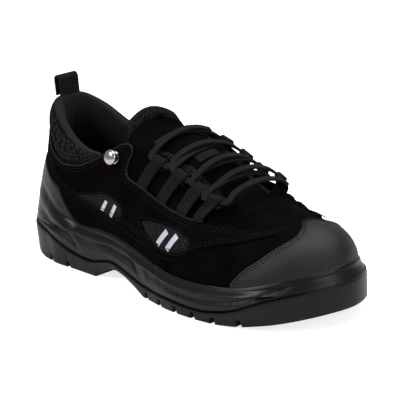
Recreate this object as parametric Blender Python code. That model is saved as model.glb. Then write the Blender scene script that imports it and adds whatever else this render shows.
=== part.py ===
"""A low-cut safety trainer for the right foot: +X to the toe, +Z up, the outer side of the foot to -Y.

Lengths are in metres. Every curved piece is laid out on one surface, the outside of the lasted upper.
A place on it is (around, up). Around is 0 at the back of the heel and runs to +1 at the toe tip along
the inner side, or to -1 along the outer side. Up is 0 at the feather edge, where upper meets sole, and 1
at the topline, the throat's edge or, before the throat, the crest of the vamp.
"""

import math

import bmesh
import bpy
import numpy as np
from mathutils import Matrix, Vector

# Sizes of the last and the upper
LAST_LENGTH = 0.286
BALL_WIDTH = 0.099
COLLAR_HEIGHT = 0.115
INSTEP_HEIGHT = 0.098
TOE_HEIGHT = 0.060
UPPER_WALL = 0.0022
OVERLAY_WALL = 0.0014
TOE_CAP_WALL = 0.0016
FIT_GAP = 0.0003

# Sizes of the sole
HEEL_SEAT = 0.031
BALL_SEAT = 0.020
TOE_SPRING = 0.010
ARCH_RISE = 0.0105
FLOOR_DROP = 0.0012
SOLE_OVERHANG = 0.0065
RIM_WALL = 0.0026
GROOVE_WIDTH = 0.0045
GROOVE_DEPTH = 0.0045
SPLIT_HEIGHT = 0.018
SEAM_STEP = 0.0012
EDGE_STEP = 0.0020
HEEL_FLARE = 0.0035
FLARE_SPAN = 0.14
INSOLE_WALL = 0.0045
INSOLE_CLEARANCE = 0.0008

# Sizes of the collar, tongue and trim
PAD_THICKNESS = 0.0085
PAD_BULGE = 0.0022
PAD_SPAN = 0.305
PAD_DEPTH = 0.22
PAD_ROLL = 0.0030
PAD_CLEARANCE = 0.0011
TONGUE_WALL = 0.0065
TONGUE_CLEARANCE = 0.0007
TONGUE_CROWN = 0.16
TONGUE_LEAN = (-0.42, 0.0, 0.91)
TONGUE_LEVELS = (0.76, 0.87, 0.97)
KEEPER_PLACES = (0.573, 0.591)
KEEPER_SHARES = (0.26, 0.35, 0.44, 0.53, 0.62)
KEEPER_LIFT = 0.0006
WEBBING_WIDTH = 0.0080
WEBBING_WALL = 0.0013
WEBBING_LIFT = 0.0008
LACE_RADIUS = 0.0015
EYE_RADIUS = LACE_RADIUS + WEBBING_WALL / 2 + 0.0021
LACE_STRAIGHT = 0.0042
LACE_CROWN = 0.145
SHARP_TURN = 0.85
LACE_SIDES = 6
AROUND_LENGTH = 0.330
PANEL_HEIGHT = 0.085
RIM_CLEARANCE = 0.0019
PULL_WIDTH = 0.018
PULL_WALL = 0.0018
PULL_HEIGHT = 0.0145
PULL_GAP = 0.0032
PULL_LEAN = 0.05
STUD_RADIUS = 0.0054
STUD_SIDES = 14
STUD_PLACE = (0.382, 0.90)
BAND_SPAN = 0.597
HEEL_SEAM = 0.0012
SEAM_LEVEL = 0.008
ROWS_OVER_BAND = 6
WELD = 1e-6

HEIGHTS = {"collar": COLLAR_HEIGHT, "instep": INSTEP_HEIGHT, "toe": TOE_HEIGHT}

# The feather edge from the heel's back to the toe tip: share of LAST_LENGTH, share of BALL_WIDTH outwards
OUTER_EDGE = (
    (0.000, 0.000),
    (0.030, 0.205),
    (0.110, 0.325),
    (0.220, 0.345),
    (0.360, 0.365),
    (0.500, 0.425),
    (0.640, 0.500),
    (0.760, 0.495),
    (0.870, 0.425),
    (0.950, 0.270),
    (1.000, -0.050),
)
INNER_EDGE = (
    (0.000, 0.000),
    (0.030, 0.205),
    (0.110, 0.315),
    (0.220, 0.315),
    (0.360, 0.300),
    (0.500, 0.345),
    (0.640, 0.455),
    (0.740, 0.500),
    (0.840, 0.475),
    (0.925, 0.365),
    (0.980, 0.215),
    (1.000, 0.050),
)

# The top of the upper. around; along, a share of LAST_LENGTH; aside, a share of BALL_WIDTH from the
# middle; the named height and the share of it; then how the wall curves between the edges, in shares
# of that height: bulge and rise leave the feather edge outwards and upwards, flank and drop reach the top.
TOP_COLUMNS = ("around", "along", "aside", "height", "share", "bulge", "rise", "flank", "drop")
TOP_ROWS = (
    (0.00, 0.048, 0.000, "collar", 1.000, 0.02, 0.24, 0.000, -0.28),
    (0.07, 0.066, 0.150, "collar", 0.985, 0.02, 0.24, 0.010, -0.28),
    (0.14, 0.115, 0.245, "collar", 0.920, 0.02, 0.22, 0.030, -0.26),
    (0.22, 0.195, 0.305, "collar", 0.805, 0.03, 0.22, 0.030, -0.20),
    (0.30, 0.285, 0.320, "collar", 0.755, 0.03, 0.20, 0.030, -0.20),
    (0.36, 0.345, 0.305, "collar", 0.810, 0.03, 0.20, 0.040, -0.20),
    (0.42, 0.400, 0.280, "collar", 0.872, 0.03, 0.22, 0.060, -0.20),
    (0.48, 0.460, 0.275, "instep", 1.010, 0.03, 0.24, 0.080, -0.20),
    (0.54, 0.525, 0.265, "instep", 0.955, 0.03, 0.24, 0.100, -0.18),
    (0.60, 0.595, 0.250, "instep", 0.865, 0.03, 0.24, 0.120, -0.13),
    (0.65, 0.655, 0.225, "instep", 0.770, 0.03, 0.24, 0.150, -0.08),
    (0.70, 0.716, 0.150, "instep", 0.708, 0.03, 0.25, 0.210, -0.02),
    (0.71, 0.732, 0.000, "instep", 0.698, 0.03, 0.26, 0.300, 0.00),
    (0.76, 0.764, 0.000, "toe", 1.110, 0.03, 0.36, 0.440, 0.00),
    (0.82, 0.795, 0.000, "toe", 1.065, 0.03, 0.38, 0.440, 0.00),
    (0.88, 0.825, 0.000, "toe", 1.035, 0.03, 0.40, 0.420, 0.00),
    (0.94, 0.852, 0.000, "toe", 1.015, 0.03, 0.40, 0.400, 0.00),
    (1.00, 0.868, 0.000, "toe", 1.005, 0.03, 0.40, 0.400, 0.00),
)
THROAT_FRONT = 0.71

# The middle line of the top leans to the inner side towards the toe: share of length, share of BALL_WIDTH
MIDDLE_LINE = ((0.0, 0.0), (0.3, 0.0), (0.42, 0.03), (0.52, 0.05), (0.7, 0.055), (0.87, 0.05), (1.0, 0.05))

# Heights along the sole: share of LAST_LENGTH, then shares of the named sizes
SEAT_LINE = ((0.0, 1.0, 0.0, 0.0), (0.25, 0.97, 0.0, 0.0), (0.45, 0.45, 0.60, 0.0), (0.66, 0.0, 1.0, 0.0),
             (0.80, 0.0, 1.0, 0.15), (0.92, 0.0, 1.0, 0.55), (1.0, 0.0, 1.0, 0.95))

# Lines across the surface, as (around, up)
RIM_LINE = ((0.0, 0.58), (0.05, 0.57), (0.10, 0.52), (0.15, 0.45), (0.19, 0.37), (0.215, 0.20), (0.24, 0.075),
            (0.27, 0.06), (0.32, 0.09), (0.38, 0.09), (0.50, 0.05), (0.62, 0.05), (0.76, 0.055), (0.88, 0.10),
            (1.0, 0.14))
BAND_LINE = ((0.0, 0.68), (0.05, 0.67), (0.10, 0.62), (0.14, 0.56), (0.17, 0.50), (0.20, 0.44), (0.26, 0.39),
             (0.32, 0.35), (0.39, 0.27), (0.465, 0.22), (0.56, 0.225), (0.62, 0.25), (0.66, 0.33), (0.72, 0.42),
             (0.80, 0.53), (0.90, 0.62), (1.0, 0.65))
QUARTER_TOP_LINE = ((0.0, 0.84), (0.06, 0.82), (0.12, 0.78), (0.155, 0.73), (0.20, 0.73), (0.25, 0.84),
                    (0.30, 0.97), (0.33, 1.0), (0.36, 1.0), (0.40, 1.0))
# The quarter's front edge runs down and then forward into a long tail
QUARTER_FRONT_LINE = ((0.36, 1.0), (0.415, 1.0), (0.440, 0.97), (0.446, 0.70), (0.458, 0.64), (0.518, 0.61),
                      (0.568, 0.59), (0.61, 0.59), (0.65, 0.60), (0.685, 0.60), (0.772, 0.64), (0.868, 0.685))
TAIL_LINE = ((0.64, 0.0), (0.655, 0.34), (0.682, 0.39), (0.762, 0.50), (0.838, 0.60), (0.868, 0.675))
# The two mesh windows above the side band: middle and half width, share of the wall above the band
WINDOWS = ((0.335, 0.080, 0.17), (0.580, 0.078, 0.22))
CAP_LINE = ((0.755, 0.10), (0.775, 0.24), (0.812, 0.33), (0.845, 0.42), (0.885, 0.53), (0.907, 0.62),
            (0.922, 0.72), (0.953, 0.90), (1.0, 0.93))
# The webbing loops: around at the quarter's edge, around and up at the eye, more lift over a round corner
LOOP_ROWS = ((0.483, 0.530, 0.93, 0.0), (0.550, 0.588, 0.92, 0.0), (0.610, 0.634, 0.92, 0.0003),
             (0.660, 0.682, 0.92, 0.0014))

# Lines along the sole: share of LAST_LENGTH, then shares of SPLIT_HEIGHT, or of ARCH_RISE and TOE_SPRING
SPLIT_LINE = ((-0.03, 1.62), (0.0, 1.55), (0.10, 1.22), (0.20, 0.70), (0.27, 0.58), (0.38, 0.84), (0.43, 0.68),
              (0.505, 0.46), (0.62, 0.42), (0.75, 0.43), (0.82, 0.68), (0.88, 1.10), (0.97, 1.55), (1.03, 1.70))
TREAD_LINE = ((-0.03, 0.75, 0.0), (0.0, 0.45, 0.0), (0.04, 0.12, 0.0), (0.07, 0.0, 0.0), (0.295, 0.0, 0.0),
              (0.305, 0.2, 0.0), (0.33, 0.55, 0.0), (0.36, 0.93, 0.0), (0.39, 1.0, 0.0), (0.43, 0.8, 0.0),
              (0.47, 0.4, 0.0), (0.505, 0.0, 0.0), (0.78, 0.0, 0.0), (0.85, 0.0, 0.18), (0.92, 0.0, 0.5),
              (0.98, 0.0, 0.85), (1.03, 0.0, 1.15))
TREAD_STATIONS = (0.295, 0.308, 0.505)
GROOVES = (0.115, 0.185, 0.53, 0.59, 0.65, 0.71, 0.77, 0.84)
# The channel down the middle of the tread: share across, share of GROOVE_DEPTH
CHANNEL = ((0.42, 0.0), (0.45, 1.0), (0.52, 1.0), (0.55, 0.0))
CHANNEL_SWAY = 0.05
TONGUE_ROWS = ((0.42, 0.016, 0.84), (0.42, 0.008, 0.91), (0.43, 0.0, 0.97), (0.46, 0.0, 1.0), (0.50, 0.0, 1.0),
               (0.55, 0.0, 1.0), (0.60, 0.0, 1.0), (0.64, -0.002, 0.97), (0.675, -0.006, 0.88))

AROUND_STATIONS = (0.0, 0.035, 0.07, 0.105, 0.14, 0.17, 0.195, 0.215, 0.24, 0.27, 0.30, 0.335, 0.37, 0.41, 0.45,
                   0.49, 0.53, 0.57, 0.61, 0.65, 0.68, 0.70, 0.71, 0.745, 0.78, 0.82, 0.86, 0.90, 0.93, 0.965, 1.0)


def clear_scene():
    for thing in list(bpy.data.objects):
        bpy.data.objects.remove(thing)


def smooth_through(knots, values, at):
    """A smooth curve through the values at the knots, read at 'at'."""
    knots, values, at = (np.asarray(x, float) for x in (knots, values, at))
    slopes = np.gradient(values, knots)
    at = np.clip(at, knots[0], knots[-1])
    i = np.clip(np.searchsorted(knots, at, side="right") - 1, 0, len(knots) - 2)
    step = knots[i + 1] - knots[i]
    t = (at - knots[i]) / step
    return ((1 + 2 * t) * (1 - t) ** 2 * values[i] + t * (1 - t) ** 2 * step * slopes[i]
            + t ** 2 * (3 - 2 * t) * values[i + 1] + t ** 2 * (t - 1) * step * slopes[i + 1])


def read_line(line, at, column=1):
    return smooth_through([row[0] for row in line], [row[column] for row in line], at)


def half_outline(rows, samples=600):
    """One side of the feather edge as dense x, outward y, unit tangent and share of its own length."""
    points = np.array(rows) * (LAST_LENGTH, BALL_WIDTH)
    knots = np.concatenate([[0.0], np.cumsum(np.linalg.norm(np.diff(points, axis=0), axis=1))])
    tangents = np.gradient(points, knots, axis=0)
    tangents[0], tangents[-1] = (0.0, 1.0), (0.0, -1.0)
    at = np.linspace(0, knots[-1], samples)
    i = np.clip(np.searchsorted(knots, at, side="right") - 1, 0, len(knots) - 2)
    step = (knots[i + 1] - knots[i])[:, None]
    t = ((at - knots[i])[:, None]) / step
    dense = ((1 + 2 * t) * (1 - t) ** 2 * points[i] + t * (1 - t) ** 2 * step * tangents[i]
             + t ** 2 * (3 - 2 * t) * points[i + 1] + t ** 2 * (t - 1) * step * tangents[i + 1])
    lengths = np.concatenate([[0.0], np.cumsum(np.linalg.norm(np.diff(dense, axis=0), axis=1))])
    return dense, lengths / lengths[-1]


OUTLINES = {-1: half_outline(OUTER_EDGE), 1: half_outline(INNER_EDGE)}


def wrapped(around):
    """Around, brought back into -1 to 1 past the toe tip."""
    around = np.asarray(around, float)
    return np.where(around > 1, around - 2, np.where(around < -1, around + 2, around))


def feather_edge(around):
    """Points of the feather edge in plan and their outward normals."""
    around = wrapped(around)
    place, ahead = np.zeros(around.shape + (2,)), np.zeros(around.shape + (2,))
    reach = 0.004
    for side, (dense, share) in OUTLINES.items():
        here = (around < 0) if side < 0 else (around >= 0)
        w = np.abs(around)
        x, y = np.interp(w, share, dense[:, 0]), np.interp(w, share, dense[:, 1])
        low, high = np.clip(w - reach, 0, 1), np.clip(w + reach, 0, 1)
        tx = np.interp(high, share, dense[:, 0]) - np.interp(low, share, dense[:, 0])
        ty = np.interp(high, share, dense[:, 1]) - np.interp(low, share, dense[:, 1])
        tx = np.where((w < reach) | (w > 1 - reach), 0.0, tx)
        place[here] = np.stack([x, side * y], -1)[here]
        ahead[here] = np.stack([-ty, side * tx], -1)[here]
    return place, ahead / np.linalg.norm(ahead, axis=-1, keepdims=True)


def seat_height(x):
    """Height of the feather edge and the insole board above the ground."""
    share = np.asarray(x) / LAST_LENGTH
    return (HEEL_SEAT * read_line(SEAT_LINE, share, 1) + BALL_SEAT * read_line(SEAT_LINE, share, 2)
            + TOE_SPRING * read_line(SEAT_LINE, share, 3))


def top_column(name, around):
    at = TOP_COLUMNS.index(name)
    heights = [HEIGHTS[row[3]] for row in TOP_ROWS]
    scale = {"along": LAST_LENGTH, "aside": BALL_WIDTH}.get(name)
    values = [row[at] * (scale or height) for row, height in zip(TOP_ROWS, heights)]
    return smooth_through([row[0] for row in TOP_ROWS], values, np.abs(around))


def meridian(around):
    """The four control points of the wall's curve at each place around."""
    around = wrapped(around)
    side = np.where(around < 0, -1.0, 1.0)
    edge, out = feather_edge(around)
    foot = np.concatenate([edge, seat_height(edge[..., 0])[..., None]], -1)
    top_x = top_column("along", around)
    aside = np.where(np.abs(around) >= THROAT_FRONT, 0.0, np.maximum(top_column("aside", around), 0.0))
    top_y = BALL_WIDTH * read_line(MIDDLE_LINE, top_x / LAST_LENGTH) + side * aside
    top = np.stack([top_x, top_y, top_column("share", around)], -1)
    out = np.concatenate([out, np.zeros_like(out[..., :1])], -1)
    up = np.array([0.0, 0.0, 1.0])
    low = foot + out * top_column("bulge", around)[..., None] + up * top_column("rise", around)[..., None]
    high = top + out * top_column("flank", around)[..., None] + up * top_column("drop", around)[..., None]
    return foot, low, high, top


def bare_skin(around, up):
    foot, low, high, top = meridian(around)
    v = np.clip(np.asarray(up, float), 0, 1)[..., None]
    return (1 - v) ** 3 * foot + 3 * (1 - v) ** 2 * v * low + 3 * (1 - v) * v ** 2 * high + v ** 3 * top


def skin(around, up, lift=0.0):
    """Points of the upper's outside, lifted outwards along its normal."""
    around, up, lift = np.broadcast_arrays(*(np.asarray(x, float) for x in (around, up, lift)))
    points = bare_skin(around, up)
    d_around, d_up = 0.006, 0.01
    inner_up = np.clip(up, d_up, 1 - 2.5 * d_up)
    forward = bare_skin(around + d_around, inner_up) - bare_skin(around - d_around, inner_up)
    upward = bare_skin(around, inner_up + d_up) - bare_skin(around, inner_up - d_up)
    normal = np.cross(upward, forward)
    normal /= np.linalg.norm(normal, axis=-1, keepdims=True)
    crest = (np.abs(wrapped(around)) >= THROAT_FRONT) & (up > 1 - 1e-9)
    if crest.any():
        across = bare_skin(around, np.full_like(up, 1 - 0.08)) - bare_skin(-around, np.full_like(up, 1 - 0.08))
        ahead = bare_skin(np.clip(np.abs(around) + 0.02, 0, 0.999), up) - bare_skin(np.abs(around) - 0.02, up)
        ridge = np.cross(across, ahead)
        ridge *= np.sign(ridge[..., 2:3])
        ridge /= np.maximum(np.linalg.norm(ridge, axis=-1, keepdims=True), 1e-12)
        flat = np.abs(np.abs(wrapped(around)) - 1) < 1e-6
        ridge[flat] = (0.0, 0.0, 1.0)
        normal = np.where(crest[..., None], ridge, normal)
    return points + normal * lift[..., None]


def rim_line(around):
    return read_line(RIM_LINE, np.abs(around))


def band_line(around):
    return read_line(BAND_LINE, np.abs(around))


def upper_top(around):
    """Where the upper's own wall ends: under the padded collar at the back, else at the top."""
    return np.minimum(1.0, read_line(QUARTER_TOP_LINE, np.abs(around)))


def row_levels(around):
    """The levels up the wall that the upper's rows follow at this place."""
    rim, band, top = float(rim_line(around)), float(band_line(around)), float(upper_top(around))
    over = [band + (top - band) * k / ROWS_OVER_BAND for k in range(1, ROWS_OVER_BAND + 1)]
    return [0.0, rim / 2, rim, (rim + band) / 2, band] + over


COLUMNS = [-w for w in reversed(AROUND_STATIONS[1:])] + list(AROUND_STATIONS)
LEVELS = np.array([row_levels(a) for a in COLUMNS])
ROWS = LEVELS.shape[1]
GRID = np.array([skin(np.full(ROWS, a), LEVELS[i]) for i, a in enumerate(COLUMNS)])
GRID_NORMALS = (np.array([skin(np.full(ROWS, a), LEVELS[i], 0.001) for i, a in enumerate(COLUMNS)]) - GRID) / 0.001


def row_number(around, up):
    """The place among the upper's rows, with a fraction, of a level at this place around."""
    at = np.interp(around, COLUMNS, np.arange(len(COLUMNS)))
    i = min(int(at), len(COLUMNS) - 2)
    levels = LEVELS[i] + (LEVELS[i + 1] - LEVELS[i]) * (at - i)
    return float(np.interp(up, levels, np.arange(ROWS)))


def facet(around, row, lift=0.0):
    """A point on the upper's own facets, lifted outwards."""
    at = float(np.interp(around, COLUMNS, np.arange(len(COLUMNS))))
    i, j = min(int(at), len(COLUMNS) - 2), min(int(row), ROWS - 2)
    s, t = at - i, row - j
    point, normal = ((1 - t) * g[i, j] + (t - s) * g[i, j + 1] + s * g[i + 1, j + 1] if t >= s else
                     (1 - s) * g[i, j] + (s - t) * g[i + 1, j] + t * g[i + 1, j + 1] for g in (GRID, GRID_NORMALS))
    return point + normal / np.linalg.norm(normal) * lift


def on_upper(around, up, lift=0.0):
    return facet(around, row_number(around, up), lift)


def material(name, colour, roughness, metallic=0.0):
    made = bpy.data.materials.get(name) or bpy.data.materials.new(name)
    made.use_nodes = True
    shader = made.node_tree.nodes["Principled BSDF"]
    shader.inputs["Base Color"].default_value = (*colour, 1.0)
    shader.inputs["Roughness"].default_value = roughness
    shader.inputs["Metallic"].default_value = metallic
    made.diffuse_color = (*colour, 1.0)
    return made


def mesh_object(name, points, faces, finish, closed=True):
    """An object from points and faces, with coincident points made one."""
    shape = bmesh.new()
    verts = [shape.verts.new(p) for p in points]
    for face in faces:
        shape.faces.new([verts[i] for i in face])
    bmesh.ops.remove_doubles(shape, verts=shape.verts, dist=WELD)
    bmesh.ops.dissolve_degenerate(shape, dist=WELD, edges=shape.edges)
    if closed:
        bmesh.ops.recalc_face_normals(shape, faces=shape.faces)
        if shape.calc_volume(signed=True) < 0:
            bmesh.ops.reverse_faces(shape, faces=shape.faces)
    mesh = bpy.data.meshes.new(name)
    shape.to_mesh(mesh)
    shape.free()
    mesh.shade_smooth()
    mesh.set_sharp_from_angle(angle=math.radians(35))
    made = bpy.data.objects.new(name, mesh)
    bpy.context.scene.collection.objects.link(made)
    mesh.materials.append(finish)
    return made


def thicken(thing, wall, grows):
    """Gives a sheet its wall. Grows 1 adds it on the outer side, -1 on the inner side."""
    solid = thing.modifiers.new("wall", "SOLIDIFY")
    solid.thickness = wall
    solid.offset = grows
    solid.use_quality_normals = True
    return thing


def grid_faces(columns, rows, around=False, along=False):
    """Triangles of a grid whose point (i, j) has the number i * rows + j, closed either way on request."""
    faces = []
    for i in range(columns if around else columns - 1):
        k = (i + 1) % columns
        for j in range(rows if along else rows - 1):
            m = (j + 1) % rows
            faces.append((i * rows + j, i * rows + m, k * rows + m))
            faces.append((i * rows + j, k * rows + m, k * rows + j))
    return faces


def swept_solid(name, sections, finish, ring=False):
    """A closed body through sections with as many points each, capped at its ends or joined in a ring."""
    rows = len(sections[0])
    faces = grid_faces(len(sections), rows, around=ring, along=True)
    if not ring:
        faces += [tuple(range(rows)), tuple(range((len(sections) - 1) * rows, len(sections) * rows))]
    return mesh_object(name, [tuple(p) for section in sections for p in section], faces, finish)


def patch(name, around_list, low, high, finish, lift=FIT_GAP):
    """An overlay on the upper between two lines, on the upper's own rows and columns."""
    inside = [a for a in COLUMNS if around_list[0] < a < around_list[-1]]
    columns = sorted(set(around_list) | set(inside))
    points = []
    for around in columns:
        bottom, top = row_number(around, low(around)), row_number(around, high(around))
        rows = [min(max(float(j), bottom), top) for j in range(ROWS)]
        rows[0], rows[-1] = bottom, top
        points += [tuple(facet(around, row, lift)) for row in rows]
    sheet = mesh_object(name, points, grid_faces(len(columns), ROWS), finish, closed=False)
    return thicken(sheet, OVERLAY_WALL, grows=1.0)


def build_upper(finish):
    """The hollow lasted upper: closed over the toes, open at throat, collar and underneath."""
    points = [tuple(p) for column in GRID[1:] for p in column]
    made = mesh_object("upper", points, grid_faces(len(COLUMNS) - 1, ROWS, around=True), finish, closed=False)
    return thicken(made, UPPER_WALL, grows=-1.0)


def sole_point(around, outward, height):
    """A point beside the feather edge, outwards in plan and at a height above the ground."""
    edge, out = feather_edge(np.array([around]))
    return np.array([*(edge[0] + out[0] * outward), height])


def split_height(around):
    """Height of the line between midsole and outsole, straight between the columns of the upper."""
    x = (GRID[:, 0, 0] + GRID[::-1, 0, 0]) / 2
    return float(np.interp(around, COLUMNS, SPLIT_HEIGHT * read_line(SPLIT_LINE, x / LAST_LENGTH)))


def seam_point(around, rise):
    """A point on the line where midsole and outsole meet outside, on the midsole's own straight edges."""
    ring = np.array([sole_point(a, SOLE_OVERHANG * 0.80 + heel_flare(a), split_height(a)) for a in COLUMNS])
    return np.array([float(np.interp(around, COLUMNS, ring[:, k])) for k in range(3)]) + (0.0, 0.0, rise)


def tread_height(x):
    """Height of the tread above the ground: bevelled at the heel, raised at the arch, sprung at the toe."""
    shares = np.array(TREAD_LINE)
    at = x / LAST_LENGTH
    return (ARCH_RISE * np.interp(at, shares[:, 0], shares[:, 1])
            + TOE_SPRING * np.interp(at, shares[:, 0], shares[:, 2]))


def heel_flare(around):
    """How much further the sole reaches behind the heel than at the sides."""
    return HEEL_FLARE * max(0.0, 1.0 - (abs(around) / FLARE_SPAN) ** 2)


def ladder(columns, rows, at):
    """Faces across the foot between the outer and inner columns, for the row 'at' of each column."""
    middle = columns // 2
    pairs = [(middle - k, middle + k) for k in range(middle + 1)]
    faces = []
    for (a, b), (c, d) in zip(pairs[:-1], pairs[1:]):
        corners = [(k % (columns - 1)) * rows + at for k in (a, b, d, c)]
        faces.append(tuple(dict.fromkeys(corners)))
    return faces


def build_midsole(finish):
    """The soft moulded part of the sole: a cup around the upper with a tall wrap behind the heel."""
    points = []
    for around in COLUMNS:
        rim_row = 2.0
        seat = facet(around, 0.0)[2]
        rim = facet(around, rim_row)
        low = split_height(around)
        flare = heel_flare(around)
        floor = facet(around, 0.0, FIT_GAP)
        floor[2] = seat - FLOOR_DROP
        lip = facet(around, rim_row, RIM_WALL * 0.6)
        lip[2] += RIM_WALL * 0.35
        shoulder = facet(around, rim_row, RIM_WALL)
        shoulder[2] -= RIM_WALL * 0.3
        cheek = facet(around, rim_row * 0.6, RIM_WALL * 1.2 + flare * 0.3)
        belly = low + (seat - low) * 0.45
        points += [floor, facet(around, 1.0, FIT_GAP), facet(around, rim_row, FIT_GAP), lip, shoulder, cheek,
                   sole_point(around, SOLE_OVERHANG * 0.93 + flare * 0.8, seat - (seat - low) * 0.04),
                   sole_point(around, SOLE_OVERHANG * 0.74 + flare * 0.8, seat - (seat - low) * 0.16),
                   sole_point(around, SOLE_OVERHANG * 0.95 + flare, belly), seam_point(around, FIT_GAP / 2)]
    rows = len(points) // len(COLUMNS)
    ring = points[:-rows]
    faces = grid_faces(len(COLUMNS) - 1, rows, around=True)
    faces += ladder(len(COLUMNS), rows, 0) + ladder(len(COLUMNS), rows, rows - 1)
    return mesh_object("midsole", [tuple(p) for p in ring], faces, finish)


def outsole_stations():
    """Places around one side of the tread, with the depth of the cross groove at each."""
    dense, share = OUTLINES[-1]
    stations = [(around, 0.0) for around in AROUND_STATIONS]
    for along in TREAD_STATIONS:
        stations.append((float(np.interp(along * LAST_LENGTH, dense[:, 0], share)), 0.0))
    for along in GROOVES:
        for step, depth in ((-1.0, 0.0), (-0.55, GROOVE_DEPTH), (0.55, GROOVE_DEPTH), (1.0, 0.0)):
            x = along * LAST_LENGTH + step * GROOVE_WIDTH / 2
            stations.append((float(np.interp(x, dense[:, 0], share)), depth))
    return sorted(stations)


def build_outsole(finish):
    """The harder tread: blocks between cross grooves and a channel down the middle."""
    stations = outsole_stations()
    around_list = [-w for w, _ in reversed(stations[1:])] + [w for w, _ in stations]
    depths = {w: depth for w, depth in stations}
    side_rows = []
    for around in around_list:
        x_out = float(sole_point(around, SOLE_OVERHANG, 0.0)[0])
        top = split_height(around) - FIT_GAP / 2
        bottom = float(tread_height(x_out)) + depths[abs(around)]
        flare = heel_flare(around)
        edge = min(EDGE_STEP, (top - bottom) * 0.35)
        side_rows.append([sole_point(around, SOLE_OVERHANG * 0.4, top - SEAM_STEP), seam_point(around, -FIT_GAP / 2),
                          sole_point(around, SOLE_OVERHANG + flare * 1.3, top - edge),
                          sole_point(around, SOLE_OVERHANG * 0.96 + flare, bottom + edge),
                          sole_point(around, SOLE_OVERHANG * 0.80 + flare, bottom)])
    rows = len(side_rows[0])
    count = len(around_list)
    points = [p for column in side_rows[:-1] for p in column]
    faces = grid_faces(count - 1, rows, around=True) + ladder(count, rows, 0)
    middle = count // 2
    across = len(CHANNEL)
    first = len(points)
    for k in range(1, middle):
        outer, inner = side_rows[middle - k][-1], side_rows[middle + k][-1]
        sway = CHANNEL_SWAY * (1 if (k // 4) % 2 else -1)
        roof = split_height(around_list[middle + k]) - SEAM_STEP - EDGE_STEP
        for share, depth in CHANNEL:
            point = outer + (inner - outer) * (share + sway)
            cut = tread_height(point[0]) + max(depth * GROOVE_DEPTH, depths[around_list[middle + k]])
            point[2] = min(cut, roof)
            points.append(point)
    for k in range(1, middle):
        outer = ((middle - k) % (count - 1)) * rows + rows - 1
        inner = ((middle + k) % (count - 1)) * rows + rows - 1
        here = [outer] + [first + (k - 1) * across + j for j in range(across)] + [inner]
        if k == 1:
            heel = middle * rows + rows - 1
            faces += [(heel, here[j], here[j + 1]) for j in range(len(here) - 1)]
        if k == middle - 1:
            tip = 0 * rows + rows - 1
            faces += [(tip, here[j], here[j + 1]) for j in range(len(here) - 1)]
        else:
            outer = ((middle - k - 1) % (count - 1)) * rows + rows - 1
            inner = ((middle + k + 1) % (count - 1)) * rows + rows - 1
            there = [outer] + [first + k * across + j for j in range(across)] + [inner]
            faces += [(here[j], here[j + 1], there[j + 1], there[j]) for j in range(len(here) - 1)]
    return mesh_object("outsole", [tuple(p) for p in points], faces, finish)


def build_insole(finish):
    """The removable footbed, lying on the floor of the cup."""
    points = []
    for around in COLUMNS:
        inside = facet(around, 0.0, -(UPPER_WALL + INSOLE_CLEARANCE))
        seat = facet(around, 0.0)[2]
        points += [(inside[0], inside[1], seat - FLOOR_DROP + FIT_GAP), (inside[0], inside[1], seat + INSOLE_WALL)]
    faces = grid_faces(len(COLUMNS) - 1, 2, around=True) + ladder(len(COLUMNS), 2, 0) + ladder(len(COLUMNS), 2, 1)
    return mesh_object("insole", points[:-2], faces, finish)


def build_collar_pad(finish):
    """The foam roll around the ankle. It nests inside the quarter's edge and stands above it."""
    sections = []
    for around in [a for a in COLUMNS if abs(a) <= PAD_SPAN]:
        top = float(upper_top(around))
        inner = -(UPPER_WALL + PAD_CLEARANCE)
        low = top - PAD_DEPTH
        span = 1.0 - top
        bulge = PAD_BULGE * min(1.0, span / 0.15)
        clear = float(top + 0.020)
        roll = skin(around, 1.0, -PAD_THICKNESS * 0.5)
        roll[2] += PAD_ROLL
        sections.append([skin(around, clear, inner), skin(around, clear, 0.0),
                         skin(around, clear + span * 0.45, bulge), skin(around, clear + span * 0.85, bulge * 0.6),
                         skin(around, 1.0, -PAD_THICKNESS * 0.18) + (0, 0, PAD_ROLL * 0.8), roll,
                         skin(around, 1.0, -PAD_THICKNESS * 0.85) + (0, 0, PAD_ROLL * 0.5),
                         skin(around, top + span * 0.4, -PAD_THICKNESS * 1.05),
                         skin(around, top - 0.06, -PAD_THICKNESS),
                         skin(around, low, -PAD_THICKNESS * 0.7), skin(around, low, inner)])
    return swept_solid("collar_pad", sections, finish)


def tongue_section(place, rise, spread):
    """The tongue's outside at one place, from the outer edge over the throat to the inner edge."""
    depth = UPPER_WALL + TONGUE_CLEARANCE
    under = [skin(-place, level, -depth) for level in TONGUE_LEVELS]
    over = [skin(place, level, -depth) for level in reversed(TONGUE_LEVELS)]
    left, right = under[-1], over[0]
    bridge = []
    for share in (0.2, 0.4, 0.6, 0.8):
        point = left + (right - left) * share
        point[2] += (right - left)[1] * TONGUE_CROWN * (4 * share * (1 - share))
        bridge.append(point)
    middle = (left + right) / 2
    return [middle + (point - middle) * (1.0, spread, 1.0) + np.array(TONGUE_LEAN) * rise
            for point in under + bridge + over]


def build_tongue(finish):
    """The padded tongue: it follows the inside of the upper and bridges the throat."""
    points = [tuple(point) for row in TONGUE_ROWS for point in reversed(tongue_section(*row))]
    rows = len(points) // len(TONGUE_ROWS)
    sheet = mesh_object("tongue", points, grid_faces(len(TONGUE_ROWS), rows), finish, closed=False)
    return thicken(sheet, TONGUE_WALL, grows=-1.0)


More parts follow.
